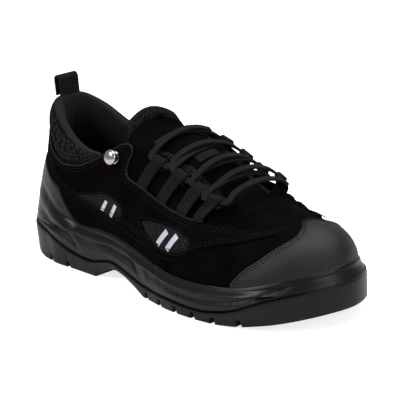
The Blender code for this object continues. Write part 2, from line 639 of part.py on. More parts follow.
def build_keeper(finish):
    """The short webbing strip sewn across the tongue, which keeps the lace in the middle."""
    edges = [np.array(tongue_section(place, 0.0, 1.0)[2:8]) for place in KEEPER_PLACES]
    sections = []
    for share in KEEPER_SHARES:
        low, high = (np.array([np.interp(share * 5, range(6), edge[:, k]) for k in range(3)]) for edge in edges)
        near = np.array([np.interp(share * 5 + 0.3, range(6), edges[0][:, k]) for k in range(3)])
        normal = np.cross(high - low, near - low)
        normal /= np.linalg.norm(normal) * np.sign(normal[2])
        sections.append([low + normal * KEEPER_LIFT, low + normal * (KEEPER_LIFT + WEBBING_WALL),
                         high + normal * (KEEPER_LIFT + WEBBING_WALL), high + normal * KEEPER_LIFT])
    return swept_solid("tongue_lace_keeper", sections, finish)


def above_rim(around):
    """The lower edge of the panels, a set distance from the sole's rim however steep the rim is."""
    steep = (rim_line(around + 0.004) - rim_line(around - 0.004)) / 0.008 * PANEL_HEIGHT / AROUND_LENGTH
    return float(rim_line(around)) + RIM_CLEARANCE / PANEL_HEIGHT * math.hypot(1.0, float(steep))


def under_band(around):
    return float(band_line(around)) - SEAM_LEVEL / 2


def quarter_low(around):
    """The quarter's lower edge: on the side band, arched over the mesh windows, then the tail's lower edge."""
    w = abs(around)
    low = float(band_line(w)) + SEAM_LEVEL / 2
    for middle, half, rise in WINDOWS:
        low += rise * max(0.0, 1.0 - ((w - middle) / half) ** 2) ** 0.6
    return max(low, float(np.interp(w, *zip(*TAIL_LINE))))


def quarter_high(around):
    w = abs(around)
    if w <= QUARTER_FRONT_LINE[1][0]:
        return float(upper_top(w))
    return float(np.interp(w, *zip(*QUARTER_FRONT_LINE)))


def cap_line(around):
    return float(np.interp(abs(around), *zip(*CAP_LINE)))


def build_overlays(suede, scuff):
    """Panels stitched onto the upper: the band round the heel, the two quarters and the toe cap."""
    patch("side_band", [-BAND_SPAN, BAND_SPAN], above_rim, under_band, suede)
    corners = [row[0] for row in QUARTER_FRONT_LINE[1:]]
    for middle, half, _ in WINDOWS:
        corners += [middle + half * k / 4 for k in range(-4, 5)]
    for side, name in ((-1, "lateral"), (1, "medial")):
        places = sorted(side * w for w in [HEEL_SEAM] + corners)
        patch("quarter_" + name, places, quarter_low, quarter_high, suede, lift=FIT_GAP * 2.2)
    half = [row[0] for row in CAP_LINE]
    points, columns = [], sorted(set(half) | {w for w in COLUMNS if half[0] < w <= 1.0})
    for around in columns + [-w for w in reversed(columns[:-1])]:
        low, high = row_number(around, above_rim(around)), row_number(around, cap_line(around))
        rows = [min(max(float(j), low), max(high, low)) for j in range(ROWS)]
        rows[0], rows[-1] = low, max(high, low)
        points += [tuple(facet(around, row, FIT_GAP * 1.8)) for row in rows]
    count = len(points) // ROWS
    sheet = mesh_object("toe_cap", points, grid_faces(count, ROWS), scuff, closed=False)
    thicken(sheet, TOE_CAP_WALL, grows=1.0)


def loop_frame(side, row, edge):
    """Eye of one edge of a webbing loop: origin on the upper, direction along the strap, normal."""
    _, eye, level, more = LOOP_ROWS[row]
    lift = WEBBING_LIFT + WEBBING_WALL / 2 + more
    origin = on_upper(side * eye, level, lift)
    normal = on_upper(side * eye, level, 0.002) - on_upper(side * eye, level, 0.0)
    normal /= np.linalg.norm(normal)
    toeward = on_upper(side * (eye + 0.012), level, lift) - on_upper(side * (eye - 0.012), level, lift)
    toeward -= normal * np.dot(toeward, normal)
    toeward /= np.linalg.norm(toeward)
    along = np.cross(toeward, normal)
    along *= np.sign(np.dot(along, origin - on_upper(side * eye, level - 0.06, lift)))
    return origin + toeward * edge * WEBBING_WIDTH / 2, along, normal


def loop_eye(side, row, edge):
    """The middle of the eye at one edge of the loop, where the lace runs."""
    origin, _, normal = loop_frame(side, row, edge)
    return origin + normal * EYE_RADIUS


def build_loop(side, row, name, finish):
    """A webbing strap from under the quarter, folded back over the lace to make its eye."""
    base, eye, level, more = LOOP_ROWS[row]
    tracks = []
    for edge in (-1, 1):
        shift = edge * WEBBING_WIDTH / 2 / AROUND_LENGTH
        start = quarter_high(base + shift) + SEAM_LEVEL * 2
        track = []
        for share in (0.0, 0.35, 0.7):
            around = side * (base + (eye - base) * share + shift)
            up = start + (level - start) * share
            point = on_upper(around, up, WEBBING_LIFT + WEBBING_WALL / 2 + more)
            normal = on_upper(around, up, 0.002) - on_upper(around, up, 0.0)
            track.append((point, normal / np.linalg.norm(normal)))
        origin, along, normal = loop_frame(side, row, edge)
        for degrees in (-90, -45, 0, 45, 90, 135, 180):
            turn = math.radians(degrees)
            out = along * math.cos(turn) + normal * math.sin(turn)
            track.append((origin + normal * EYE_RADIUS + out * EYE_RADIUS, -out))
        lay = WEBBING_WALL + FIT_GAP
        for reach in (1.25, 2.1):
            track.append((origin - along * EYE_RADIUS * reach + normal * lay * (1.3 if reach < 2 else 1.0), normal * -1))
        tracks.append(track)
    sections = []
    for (left, left_normal), (right, right_normal) in zip(*tracks):
        half = WEBBING_WALL / 2
        sections.append([left - left_normal * half, left + left_normal * half,
                         right + right_normal * half, right - right_normal * half])
    return swept_solid("lace_loop_%s_%d" % (name, row + 1), sections, finish)


def tube(name, path, radius, sides, finish):
    """A round cord along a path, turned as little as it can be from point to point."""
    path = np.array(path)
    ahead = np.gradient(path, axis=0)
    ahead /= np.linalg.norm(ahead, axis=1, keepdims=True)
    across = np.cross(ahead[0], (0.0, 0.0, 1.0))
    sections = []
    for point, along in zip(path, ahead):
        across = across - along * np.dot(across, along)
        across /= np.linalg.norm(across)
        up = np.cross(along, across)
        sections.append([point + radius * (across * math.cos(a) + up * math.sin(a))
                         for a in (2 * math.pi * k / sides for k in range(sides))])
    return swept_solid(name, sections, finish)


def through_points(points):
    """A smooth curve through the points, with two more places in each span beside a sharp turn."""
    points = np.array(points)
    steps = np.diff(points, axis=0)
    lengths = np.linalg.norm(steps, axis=1)
    turns = np.concatenate([[1.0], np.sum(steps[:-1] * steps[1:], axis=1) / (lengths[:-1] * lengths[1:]), [1.0]])
    knots = np.concatenate([[0.0], np.cumsum(lengths ** 0.5)])
    at = list(knots)
    for k, (low, high) in enumerate(zip(knots[:-1], knots[1:])):
        if min(turns[k], turns[k + 1]) < SHARP_TURN:
            at += [low + (high - low) / 3, low + (high - low) * 2 / 3]
    return np.stack([smooth_through(knots, points[:, k], sorted(at)) for k in range(3)], -1)


def lace_path():
    """The lace from one hidden end to the other: zigzag down through four rows, across, and back up."""
    route = []
    last = len(LOOP_ROWS) - 1
    stops = [(-1 if row % 2 == 0 else 1, row, -1) for row in range(last + 1)]
    stops += [(-side, row, 1) for side, row, _ in reversed(stops)]
    for number, (side, row, first_edge) in enumerate(stops):
        enter, leave = loop_eye(side, row, first_edge), loop_eye(side, row, -first_edge)
        along = (leave - enter) / np.linalg.norm(leave - enter)
        inside = [enter, (enter + leave) / 2, leave]
        enter, leave = enter - along * LACE_STRAIGHT, leave + along * LACE_STRAIGHT
        if route:
            start, way = route[-1], enter - route[-1]
            crown = abs(way[1]) * LACE_CROWN
            over = LACE_RADIUS * 1.25 * (1 if number <= last else -1) if number != last + 1 else 0.0
            for share in (0.14, 0.32, 0.5, 0.68, 0.86):
                bulge = crown * (4 * share * (1 - share)) ** 0.8 + over * math.sin(math.pi * share)
                route.append(start + way * share + np.array([0.0, 0.0, bulge]))
        route += [enter] + inside + [leave]
    for end in (0, -1):
        side = stops[end][0]
        start, far = route[end], loop_eye(-side, 0, -1)
        far = far + (far - loop_eye(-side, 0, 1)) * 0.6 * (1.0 if end == 0 else 1.5) + (0.0, 0.0, LACE_RADIUS)
        tail = []
        for share in (0.14, 0.3, 0.5, 0.7, 0.88):
            bulge = abs(far[1] - start[1]) * LACE_CROWN * (4 * share * (1 - share)) ** 0.8
            over = LACE_RADIUS * (1.6 if end == 0 else 0.1) * math.sin(math.pi * share)
            tail.append(start + (far - start) * share + np.array([0.0, 0.0, bulge + over]))
        route = tail[::-1] + route if end == 0 else route + tail
    return route


def build_lace(finish):
    return tube("lace", through_points(lace_path()), LACE_RADIUS, LACE_SIDES, finish)


def build_stud(side, name, finish):
    """A pressed lacing hook: base plate, neck and domed head, riveted through the quarter."""
    around, level = STUD_PLACE
    seat = on_upper(side * around, level, FIT_GAP * 3.6 + OVERLAY_WALL)
    normal = on_upper(side * around, level, 0.002) - on_upper(side * around, level, 0.0)
    turn = Vector(normal).to_track_quat("Z", "Y").to_matrix().to_4x4()
    profile = ((0.0, 0.0), (0.85, 0.0), (0.85, 0.16), (0.42, 0.22), (0.42, 0.55), (1.0, 0.62), (0.96, 0.86),
               (0.66, 1.12), (0.0, 1.24))
    points, faces = [], []
    for share, height in profile:
        ring = 1 if share == 0 else STUD_SIDES
        for k in range(ring):
            angle = 2 * math.pi * k / STUD_SIDES
            points.append((share * STUD_RADIUS * math.cos(angle), share * STUD_RADIUS * math.sin(angle),
                           height * STUD_RADIUS))
    rings = [[0] * STUD_SIDES]
    for j in range(len(profile) - 2):
        rings.append([1 + j * STUD_SIDES + k for k in range(STUD_SIDES)])
    rings.append([len(points) - 1] * STUD_SIDES)
    for low, high in zip(rings[:-1], rings[1:]):
        for k in range(STUD_SIDES):
            m = (k + 1) % STUD_SIDES
            faces.append(tuple(dict.fromkeys((low[k], low[m], high[m], high[k]))))
    placed = [tuple(turn @ Vector(p) + Vector(seat)) for p in points]
    return mesh_object("lacing_stud_" + name, placed, faces, finish)


def build_pull_loop(finish):
    """A webbing tab folded over and caught in the top of the collar behind the heel."""
    crown = skin(0.0, 1.0, -PAD_THICKNESS * 0.5)
    foot = crown + np.array([0.0, 0.0, PAD_ROLL + FIT_GAP])
    path = []
    half = PULL_GAP / 2 + PULL_WALL / 2
    lean = -PULL_LEAN
    for height in (0.0, 0.5):
        path.append((-half, PULL_HEIGHT * height))
    for degrees in (180, 135, 90, 45, 0):
        turn = math.radians(degrees)
        path.append((half * math.cos(turn), PULL_HEIGHT - half + half * math.sin(turn)))
    for height in (0.5, 0.0):
        path.append((half, PULL_HEIGHT * height))
    path = [foot + np.array([x + z * lean, 0.0, z]) for x, z in path]
    ahead = np.gradient(np.array(path), axis=0)
    sections = []
    for point, along in zip(path, ahead):
        out = np.array([-along[2], 0.0, along[0]]) / np.linalg.norm(along) * PULL_WALL / 2
        wide = np.array([0.0, PULL_WIDTH / 2, 0.0])
        sections.append([point - out - wide, point + out - wide, point + out + wide, point - out + wide])
    return swept_solid("pull_loop", sections, finish)


def stand_on_origin():
    """Moves everything so that the middle of its bounds is over the origin and the sole is on the ground."""
    bpy.context.view_layer.update()
    graph = bpy.context.evaluated_depsgraph_get()
    corners = np.array([tuple(v.co) for thing in bpy.data.objects for v in thing.evaluated_get(graph).data.vertices])
    low, high = corners.min(axis=0), corners.max(axis=0)
    shift = Matrix.Translation((-(low[0] + high[0]) / 2, -(low[1] + high[1]) / 2, -low[2]))
    for thing in bpy.data.objects:
        thing.data.transform(shift)


def main():
    clear_scene()
    suede = material("suede", (0.012, 0.012, 0.011), 0.9)
    cloth = material("collar_cloth", (0.02, 0.02, 0.02), 0.85)
    scuff = material("toe_cap_leather", (0.04, 0.04, 0.042), 0.5)
    webbing = material("webbing", (0.035, 0.035, 0.033), 0.8)
    soft_rubber = material("midsole_rubber", (0.03, 0.03, 0.032), 0.45)
    hard_rubber = material("outsole_rubber", (0.025, 0.025, 0.027), 0.5)
    nickel = material("stud_nickel", (0.75, 0.7, 0.66), 0.2, 1.0)
    build_upper(suede)
    build_midsole(soft_rubber)
    build_outsole(hard_rubber)
    build_insole(cloth)
    build_collar_pad(cloth)
    build_tongue(suede)
    build_keeper(webbing)
    build_overlays(suede, scuff)
    for side, name in ((-1, "lateral"), (1, "medial")):
        for row in range(len(LOOP_ROWS)):
            build_loop(side, row, name, webbing)
        build_stud(side, name, nickel)
    build_lace(webbing)
    build_pull_loop(webbing)
    stand_on_origin()


main()
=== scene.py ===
import math

import bmesh
import bpy
import numpy as np
from mathutils import Matrix, Vector
from mathutils.geometry import delaunay_2d_cdt


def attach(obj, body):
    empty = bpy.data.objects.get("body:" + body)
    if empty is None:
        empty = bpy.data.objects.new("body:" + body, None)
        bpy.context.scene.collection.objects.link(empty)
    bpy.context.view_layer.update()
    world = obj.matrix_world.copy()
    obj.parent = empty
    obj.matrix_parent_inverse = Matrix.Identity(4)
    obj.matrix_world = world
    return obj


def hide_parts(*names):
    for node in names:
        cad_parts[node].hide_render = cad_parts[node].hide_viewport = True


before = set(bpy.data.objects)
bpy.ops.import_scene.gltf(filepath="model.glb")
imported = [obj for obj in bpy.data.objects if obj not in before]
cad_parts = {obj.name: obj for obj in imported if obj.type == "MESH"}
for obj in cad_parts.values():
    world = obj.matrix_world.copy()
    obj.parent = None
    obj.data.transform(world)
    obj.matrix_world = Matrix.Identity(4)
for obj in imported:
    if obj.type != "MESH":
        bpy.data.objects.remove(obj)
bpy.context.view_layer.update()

# Camera: where the photographer stood, to the front and the outer side of the shoe, a little above it,
# with a long lens. The picture is rolled slightly, as the photo is.
CAMERA_AZIMUTH = math.radians(48.18)
CAMERA_ELEVATION = math.radians(16.83)
CAMERA_ROLL = math.radians(-3.70)
CAMERA_DISTANCE = 1.237
CAMERA_LENS = 159.3
LOOKED_AT = Vector((-0.0007, 0.0002, 0.050))
FRAME_ASIDE = 0.0106
FRAME_RAISED = 0.0061
camera_back = Vector((math.sin(CAMERA_AZIMUTH) * math.cos(CAMERA_ELEVATION),
                      -math.cos(CAMERA_AZIMUTH) * math.cos(CAMERA_ELEVATION), math.sin(CAMERA_ELEVATION)))
camera_right = Vector((math.cos(CAMERA_AZIMUTH), math.sin(CAMERA_AZIMUTH), 0.0))
camera_up = camera_back.cross(camera_right)
camera_data = bpy.data.cameras.new("photo_camera")
camera_data.lens = CAMERA_LENS
camera_data.sensor_width = 36.0
camera = bpy.data.objects.new("photo_camera", camera_data)
bpy.context.scene.collection.objects.link(camera)
rolled_right = camera_right * math.cos(CAMERA_ROLL) + camera_up * math.sin(CAMERA_ROLL)
rolled_up = camera_up * math.cos(CAMERA_ROLL) - camera_right * math.sin(CAMERA_ROLL)
camera.matrix_world = (Matrix.Translation(LOOKED_AT + camera_right * FRAME_ASIDE + camera_up * FRAME_RAISED
                                          + camera_back * CAMERA_DISTANCE)
                       @ Matrix((rolled_right, rolled_up, camera_back)).transposed().to_4x4())
bpy.context.scene.camera = camera

# Upper: suede cut and lasted over a foot form, with a knitted lining inside. Everything else is sewn on it, so
# its surface is worked out first. A place on it is (around, up): around runs from 0 at the heel to 1 at the toe
# tip, minus on the outer side; up runs from 0 at the sole's edge to 1 at the topline, the throat or the crest.
LAST_LENGTH = 0.286
BALL_WIDTH = 0.099
HEIGHTS = {"collar": 0.115, "instep": 0.098, "toe": 0.060}
FORM_CENTRE = np.array([-0.140725, 0.000246, 0.0])
UPPER_WALL = 0.0022
THROAT_FRONT = 0.71
OUTER_EDGE = ((0.000, 0.000), (0.030, 0.205), (0.110, 0.325), (0.220, 0.345), (0.360, 0.365), (0.500, 0.425),
              (0.640, 0.500), (0.760, 0.495), (0.870, 0.425), (0.950, 0.270), (1.000, -0.050))
INNER_EDGE = ((0.000, 0.000), (0.030, 0.205), (0.110, 0.315), (0.220, 0.315), (0.360, 0.300), (0.500, 0.345),
              (0.640, 0.455), (0.740, 0.500), (0.840, 0.475), (0.925, 0.365), (0.980, 0.215), (1.000, 0.050))
TOP_COLUMNS = ("around", "along", "aside", "height", "share", "bulge", "rise", "flank", "drop")
TOP_ROWS = (
    (0.00, 0.048, 0.000, "collar", 1.000, 0.02, 0.24, 0.000, -0.28),
    (0.07, 0.066, 0.150, "collar", 0.985, 0.02, 0.24, 0.010, -0.28),
    (0.14, 0.115, 0.245, "collar", 0.920, 0.02, 0.22, 0.030, -0.26),
    (0.22, 0.195, 0.305, "collar", 0.805, 0.03, 0.22, 0.030, -0.20),
    (0.30, 0.285, 0.320, "collar", 0.755, 0.03, 0.20, 0.030, -0.20),
    (0.36, 0.345, 0.305, "collar", 0.810, 0.03, 0.20, 0.040, -0.20),
    (0.42, 0.400, 0.280, "collar", 0.872, 0.03, 0.22, 0.060, -0.20),
    (0.48, 0.460, 0.275, "instep", 1.010, 0.03, 0.24, 0.080, -0.20),
    (0.54, 0.525, 0.265, "instep", 0.955, 0.03, 0.24, 0.100, -0.18),
    (0.60, 0.595, 0.250, "instep", 0.865, 0.03, 0.24, 0.120, -0.13),
    (0.65, 0.655, 0.225, "instep", 0.770, 0.03, 0.24, 0.150, -0.08),
    (0.70, 0.716, 0.150, "instep", 0.708, 0.03, 0.25, 0.210, -0.02),
    (0.71, 0.732, 0.000, "instep", 0.698, 0.03, 0.26, 0.300, 0.00),
    (0.76, 0.764, 0.000, "toe", 1.110, 0.03, 0.36, 0.440, 0.00),
    (0.82, 0.795, 0.000, "toe", 1.065, 0.03, 0.38, 0.440, 0.00),
    (0.88, 0.825, 0.000, "toe", 1.035, 0.03, 0.40, 0.420, 0.00),
    (0.94, 0.852, 0.000, "toe", 1.015, 0.03, 0.40, 0.400, 0.00),
    (1.00, 0.868, 0.000, "toe", 1.005, 0.03, 0.40, 0.400, 0.00),
)
MIDDLE_LINE = ((0.0, 0.0), (0.3, 0.0), (0.42, 0.03), (0.52, 0.05), (0.7, 0.055), (0.87, 0.05), (1.0, 0.05))
# The feather edge's height: share of the length, then heights of heel seat, ball and toe spring
SEAT_LINE = ((0.0, 0.0310), (0.25, 0.03007), (0.45, 0.02595), (0.66, 0.0200), (0.80, 0.0215), (0.92, 0.0255),
             (1.0, 0.0295))
RIM_LINE = ((0.0, 0.58), (0.05, 0.57), (0.10, 0.52), (0.15, 0.45), (0.19, 0.37), (0.215, 0.20), (0.24, 0.075),
            (0.27, 0.06), (0.32, 0.09), (0.38, 0.09), (0.50, 0.05), (0.62, 0.05), (0.76, 0.055), (0.88, 0.10),
            (1.0, 0.14))
QUARTER_TOP_LINE = ((0.0, 0.84), (0.06, 0.82), (0.12, 0.78), (0.155, 0.73), (0.20, 0.73), (0.25, 0.84),
                    (0.30, 0.97), (0.33, 1.0), (0.36, 1.0), (0.40, 1.0))
# Soft creases of a worn-in vamp and ankle: around and up at both ends, half width, depth
CREASES = (
    (0.735, 0.74, 0.800, 1.00, 0.0045, 0.0007),
    (0.700, 0.66, 0.760, 0.98, 0.0040, 0.0005),
    (-0.735, 0.72, -0.795, 1.00, 0.0045, 0.0008),
    (-0.705, 0.68, -0.745, 0.96, 0.0035, 0.0006),
    (-0.300, 0.50, -0.400, 0.62, 0.0060, 0.0006),
    (-0.445, 0.45, -0.520, 0.62, 0.0050, 0.0006),
    (0.300, 0.50, 0.400, 0.62, 0.0060, 0.0006),
    (-0.560, 0.84, -0.640, 0.70, 0.0035, 0.0004),
    (-0.120, 0.66, -0.240, 0.60, 0.0060, 0.0005),
)
AROUND_METRES = 0.330
UP_METRES = 0.085


def smooth_through(knots, values, at, slopes=None):
    knots, values, at = (np.asarray(x, float) for x in (knots, values, at))
    slopes = np.gradient(values, knots) if slopes is None else slopes
    at = np.clip(at, knots[0], knots[-1])
    i = np.clip(np.searchsorted(knots, at, side="right") - 1, 0, len(knots) - 2)
    step = knots[i + 1] - knots[i]
    t = (at - knots[i]) / step
    return ((1 + 2 * t) * (1 - t) ** 2 * values[i] + t * (1 - t) ** 2 * step * slopes[i]
            + t ** 2 * (3 - 2 * t) * values[i + 1] + t ** 2 * (t - 1) * step * slopes[i + 1])


def smooth_line(knots, points, at):
    """Places on a smooth line through the points."""
    return np.stack([smooth_through(knots, points[:, k], at) for k in range(points.shape[1])], -1)


def line_at(at, knots, points):
    """Places on the straight lines between the points."""
    return np.stack([np.interp(at, knots, points[:, k]) for k in range(points.shape[1])], -1)


def lengths_along(points):
    """The way along the line from its first point to each of its points."""
    return np.concatenate([[0.0], np.cumsum(np.linalg.norm(np.diff(points, axis=0), axis=1))])


def unit(vectors):
    return vectors / np.linalg.norm(vectors, axis=-1, keepdims=True)


def read_line(line, at, column=1):
    return smooth_through([row[0] for row in line], [row[column] for row in line], at)


def half_outline(rows, samples=600):
    points = np.array(rows) * (LAST_LENGTH, BALL_WIDTH)
    knots = lengths_along(points)
    tangents = np.gradient(points, knots, axis=0)
    tangents[0], tangents[-1] = (0.0, 1.0), (0.0, -1.0)
    at = np.linspace(0, knots[-1], samples)
    dense = np.stack([smooth_through(knots, points[:, k], at, tangents[:, k]) for k in range(2)], -1)
    lengths = lengths_along(dense)
    return dense, lengths / lengths[-1]


outlines = {-1: half_outline(OUTER_EDGE), 1: half_outline(INNER_EDGE)}


def wrapped(around):
    around = np.asarray(around, float)
    return np.where(around > 1, around - 2, np.where(around < -1, around + 2, around))


def feather_edge(around):
    around = wrapped(around)
    place, ahead = np.zeros(around.shape + (2,)), np.zeros(around.shape + (2,))
    reach = 0.004
    for side, (dense, share) in outlines.items():
        here = (around < 0) if side < 0 else (around >= 0)
        w = np.abs(around)
        x, y = np.interp(w, share, dense[:, 0]), np.interp(w, share, dense[:, 1])
        low, high = np.clip(w - reach, 0, 1), np.clip(w + reach, 0, 1)
        tx = np.interp(high, share, dense[:, 0]) - np.interp(low, share, dense[:, 0])
        ty = np.interp(high, share, dense[:, 1]) - np.interp(low, share, dense[:, 1])
        tx = np.where((w < reach) | (w > 1 - reach), 0.0, tx)
        place[here] = np.stack([x, side * y], -1)[here]
        ahead[here] = np.stack([-ty, side * tx], -1)[here]
    return place, unit(ahead)


def top_column(name, around):
    at = TOP_COLUMNS.index(name)
    heights = [HEIGHTS[row[3]] for row in TOP_ROWS]
    scale = {"along": LAST_LENGTH, "aside": BALL_WIDTH}.get(name)
    values = [row[at] * (scale or height) for row, height in zip(TOP_ROWS, heights)]
    return smooth_through([row[0] for row in TOP_ROWS], values, np.abs(around))


def seat_height(x):
    return read_line(SEAT_LINE, np.asarray(x) / LAST_LENGTH)


def bare_skin(around, up):
    around = wrapped(around)
    side = np.where(around < 0, -1.0, 1.0)
    edge, out = feather_edge(around)
    foot = np.concatenate([edge, seat_height(edge[..., 0])[..., None]], -1)
    top_x = top_column("along", around)
    aside = np.where(np.abs(around) >= THROAT_FRONT, 0.0, np.maximum(top_column("aside", around), 0.0))
    top_y = BALL_WIDTH * read_line(MIDDLE_LINE, top_x / LAST_LENGTH) + side * aside
    top = np.stack([top_x, top_y, top_column("share", around)], -1)
    out = np.concatenate([out, np.zeros_like(out[..., :1])], -1)
    rise = np.array([0.0, 0.0, 1.0])
    low = foot + out * top_column("bulge", around)[..., None] + rise * top_column("rise", around)[..., None]
    high = top + out * top_column("flank", around)[..., None] + rise * top_column("drop", around)[..., None]
    v = np.clip(np.asarray(up, float), 0, 1)[..., None]
    return ((1 - v) ** 3 * foot + 3 * (1 - v) ** 2 * v * low + 3 * (1 - v) * v ** 2 * high + v ** 3 * top
            + FORM_CENTRE)


def crease_depth(around, up):
    around = wrapped(around)
    place = np.stack([around * AROUND_METRES, up * UP_METRES], -1)
    depth = np.zeros(around.shape)
    for a, u, b, v, half, deep in CREASES:
        start = np.array([a * AROUND_METRES, u * UP_METRES])
        run = np.array([b * AROUND_METRES, v * UP_METRES]) - start
        share = np.clip(((place - start) @ run) / (run @ run), 0, 1)
        off = np.linalg.norm(place - start - share[..., None] * run, axis=-1) / half
        depth += deep * (0.45 * np.exp(-((off - 1.9) / 0.8) ** 2) - np.exp(-off ** 2)) * np.sin(
            np.pi * (0.12 + 0.76 * share))
    crest = np.clip((1.0 - up) / 0.10, 0, 1)
    joined = np.clip((np.abs(around) - THROAT_FRONT + 0.02) / 0.03, 0, 1)
    return depth * (1 - joined * (1 - crest * crest * (3 - 2 * crest)))


def surface(around, up, lift=0.0):
    around, up, lift = np.broadcast_arrays(*(np.asarray(x, float) for x in (around, up, lift)))
    points = bare_skin(around, up)
    inner_up = np.clip(up, 0.01, 0.975)
    forward = bare_skin(around + 0.006, inner_up) - bare_skin(around - 0.006, inner_up)
    upward = bare_skin(around, inner_up + 0.01) - bare_skin(around, inner_up - 0.01)
    normal = np.cross(upward, forward)
    normal = unit(normal)
    crest = (np.abs(wrapped(around)) >= THROAT_FRONT) & (up > 1 - 1e-9)
    if crest.any():
        across = bare_skin(around, up * 0 + 0.92) - bare_skin(-around, up * 0 + 0.92)
        ahead = bare_skin(np.clip(np.abs(around) + 0.02, 0, 0.999), up) - bare_skin(np.abs(around) - 0.02, up)
        ridge = np.cross(across, ahead)
        ridge *= np.sign(ridge[..., 2:3])
        ridge /= np.maximum(np.linalg.norm(ridge, axis=-1, keepdims=True), 1e-12)
        ridge[np.abs(np.abs(wrapped(around)) - 1) < 1e-6] = (0.0, 0.0, 1.0)
        normal = np.where(crest[..., None], ridge, normal)
    return points + normal * (lift + crease_depth(around, up))[..., None]


def new_object(name, points, faces, finishes, uv=None, slots=None):
    """A mesh piece with its finishes, smooth, with its flat pattern as the UV map in metres."""
    mesh = bpy.data.meshes.new(name)
    mesh.from_pydata([tuple(p) for p in points], [], [tuple(f) for f in faces])
    for finish in finishes:
        mesh.materials.append(finish)
    if slots is not None:
        mesh.polygons.foreach_set("material_index", np.asarray(slots, dtype=np.int32))
    mesh.polygons.foreach_set("use_smooth", np.ones(len(mesh.polygons), dtype=bool))
    if uv is not None:
        corners = np.zeros(len(mesh.loops), dtype=np.int32)
        mesh.loops.foreach_get("vertex_index", corners)
        layer = mesh.uv_layers.new(name="pattern")
        layer.data.foreach_set("uv", np.asarray(uv, dtype=np.float32)[corners].ravel())
    mesh.update()
    made = bpy.data.objects.new(name, mesh)
    bpy.context.scene.collection.objects.link(made)
    return made


def grid_faces(columns, rows, around=False, along=False):
    faces = []
    for i in range(columns if around else columns - 1):
        k = (i + 1) % columns
        for j in range(rows if along else rows - 1):
            m = (j + 1) % rows
            faces.append((i * rows + j, i * rows + m, k * rows + m, k * rows + j))
    return faces


def finish_of(name, colour, roughness, sheen=0.0, gloss=0.5):
    """A Principled material to which a section adds its own grain."""
    made = bpy.data.materials.new(name)
    made.use_nodes = True
    shader = made.node_tree.nodes["Principled BSDF"]
    shader.inputs["Base Color"].default_value = (*colour, 1.0)
    shader.inputs["Roughness"].default_value = roughness
    shader.inputs["Specular IOR Level"].default_value = gloss
    shader.inputs["Sheen Weight"].default_value = sheen
    shader.inputs["Sheen Roughness"].default_value = 0.45
    made.diffuse_color = (*colour, 1.0)
    return made


def add_node(made, kind, **values):
    node = made.node_tree.nodes.new(kind)
    for name, value in values.items():
        setattr(node, name, value)
    return node


def add_relief(made, height, strength, distance, after=None):
    bump = add_node(made, "ShaderNodeBump")
    bump.inputs["Strength"].default_value = strength
    bump.inputs["Distance"].default_value = distance
    links = made.node_tree.links
    links.new(height, bump.inputs["Height"])
    if after:
        links.new(after, bump.inputs["Normal"])
    links.new(bump.outputs["Normal"], made.node_tree.nodes["Principled BSDF"].inputs["Normal"])
    return bump.outputs["Normal"]


def add_noise(made, scale, detail=3.0, coordinate="Object"):
    place = add_node(made, "ShaderNodeTexCoord")
    noise = add_node(made, "ShaderNodeTexNoise")
    noise.inputs["Scale"].default_value = scale
    noise.inputs["Detail"].default_value = detail
    made.node_tree.links.new(place.outputs[coordinate], noise.inputs["Vector"])
    return noise.outputs["Fac"]


def add_tones(made, mask, dark, light, low=0.35, high=0.65):
    ramp = add_node(made, "ShaderNodeValToRGB")
    ramp.color_ramp.elements[0].position = low
    ramp.color_ramp.elements[0].color = (*dark, 1.0)
    ramp.color_ramp.elements[1].position = high
    ramp.color_ramp.elements[1].color = (*light, 1.0)
    tree = made.node_tree
    tree.links.new(mask, ramp.inputs["Fac"])
    tree.links.new(ramp.outputs["Color"], tree.nodes["Principled BSDF"].inputs["Base Color"])


suede = finish_of("black_suede", (0.0026, 0.0022, 0.0018), 0.92, sheen=0.005, gloss=0.01)
add_tones(suede, add_noise(suede, 38.0, 5.0), (0.0015, 0.0012, 0.0009), (0.0036, 0.0031, 0.0024), 0.32, 0.70)
suede_nap = add_relief(suede, add_noise(suede, 1500.0, 3.0), 0.55, 0.0004)
add_relief(suede, add_noise(suede, 260.0, 3.0), 0.25, 0.0006, after=suede_nap)
lining = finish_of("black_lining", (0.0050, 0.0048, 0.0046), 0.88, sheen=0.02, gloss=0.08)
add_relief(lining, add_noise(lining, 1800.0, 2.0), 0.4, 0.0003)

SHELL_COLUMNS = 360
SHELL_ROWS = 64
shell_around = np.linspace(-1.0, 1.0, SHELL_COLUMNS, endpoint=False)
shell_top = np.minimum(1.0, read_line(QUARTER_TOP_LINE, np.abs(shell_around)))
shell_up = np.linspace(0.0, 1.0, SHELL_ROWS)[None, :] * shell_top[:, None]
shell_outer = surface(np.repeat(shell_around[:, None], SHELL_ROWS, 1), shell_up)
shell_inner = surface(np.repeat(shell_around[:, None], SHELL_ROWS, 1), shell_up, -UPPER_WALL)[:, ::-1]
shell_lip = surface(shell_around, shell_top, -UPPER_WALL / 2)[:, None]
shell_lip = shell_lip + (shell_outer[:, -1:] - shell_outer[:, -3:-2]) * 0.2
shell = np.concatenate([shell_outer, shell_lip, shell_inner], 1)
shell_flat = np.stack([np.repeat(shell_around[:, None], shell.shape[1], 1) * AROUND_METRES,
                       np.concatenate([shell_up, shell_up[:, -1:], shell_up[:, ::-1]], 1) * UP_METRES], -1)
shell_faces = grid_faces(SHELL_COLUMNS, shell.shape[1], around=True, along=True)
shell_slots = [0 if f % shell.shape[1] < SHELL_ROWS + 1 else 1 for f in range(len(shell_faces))]
upper_shell = new_object("upper_shell", shell.reshape(-1, 3), shell_faces, [suede, lining],
                         shell_flat.reshape(-1, 2), shell_slots)
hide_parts("upper")
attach(upper_shell, "root")

# Suede panels: cut pieces sewn flat on the upper, with a turned, rounded edge. Each is cut from its outline on
# the upper's surface, filled with small faces, and raised by its own thickness.
PANEL_STEP = 0.0022
EDGE_ROLL = 0.0013


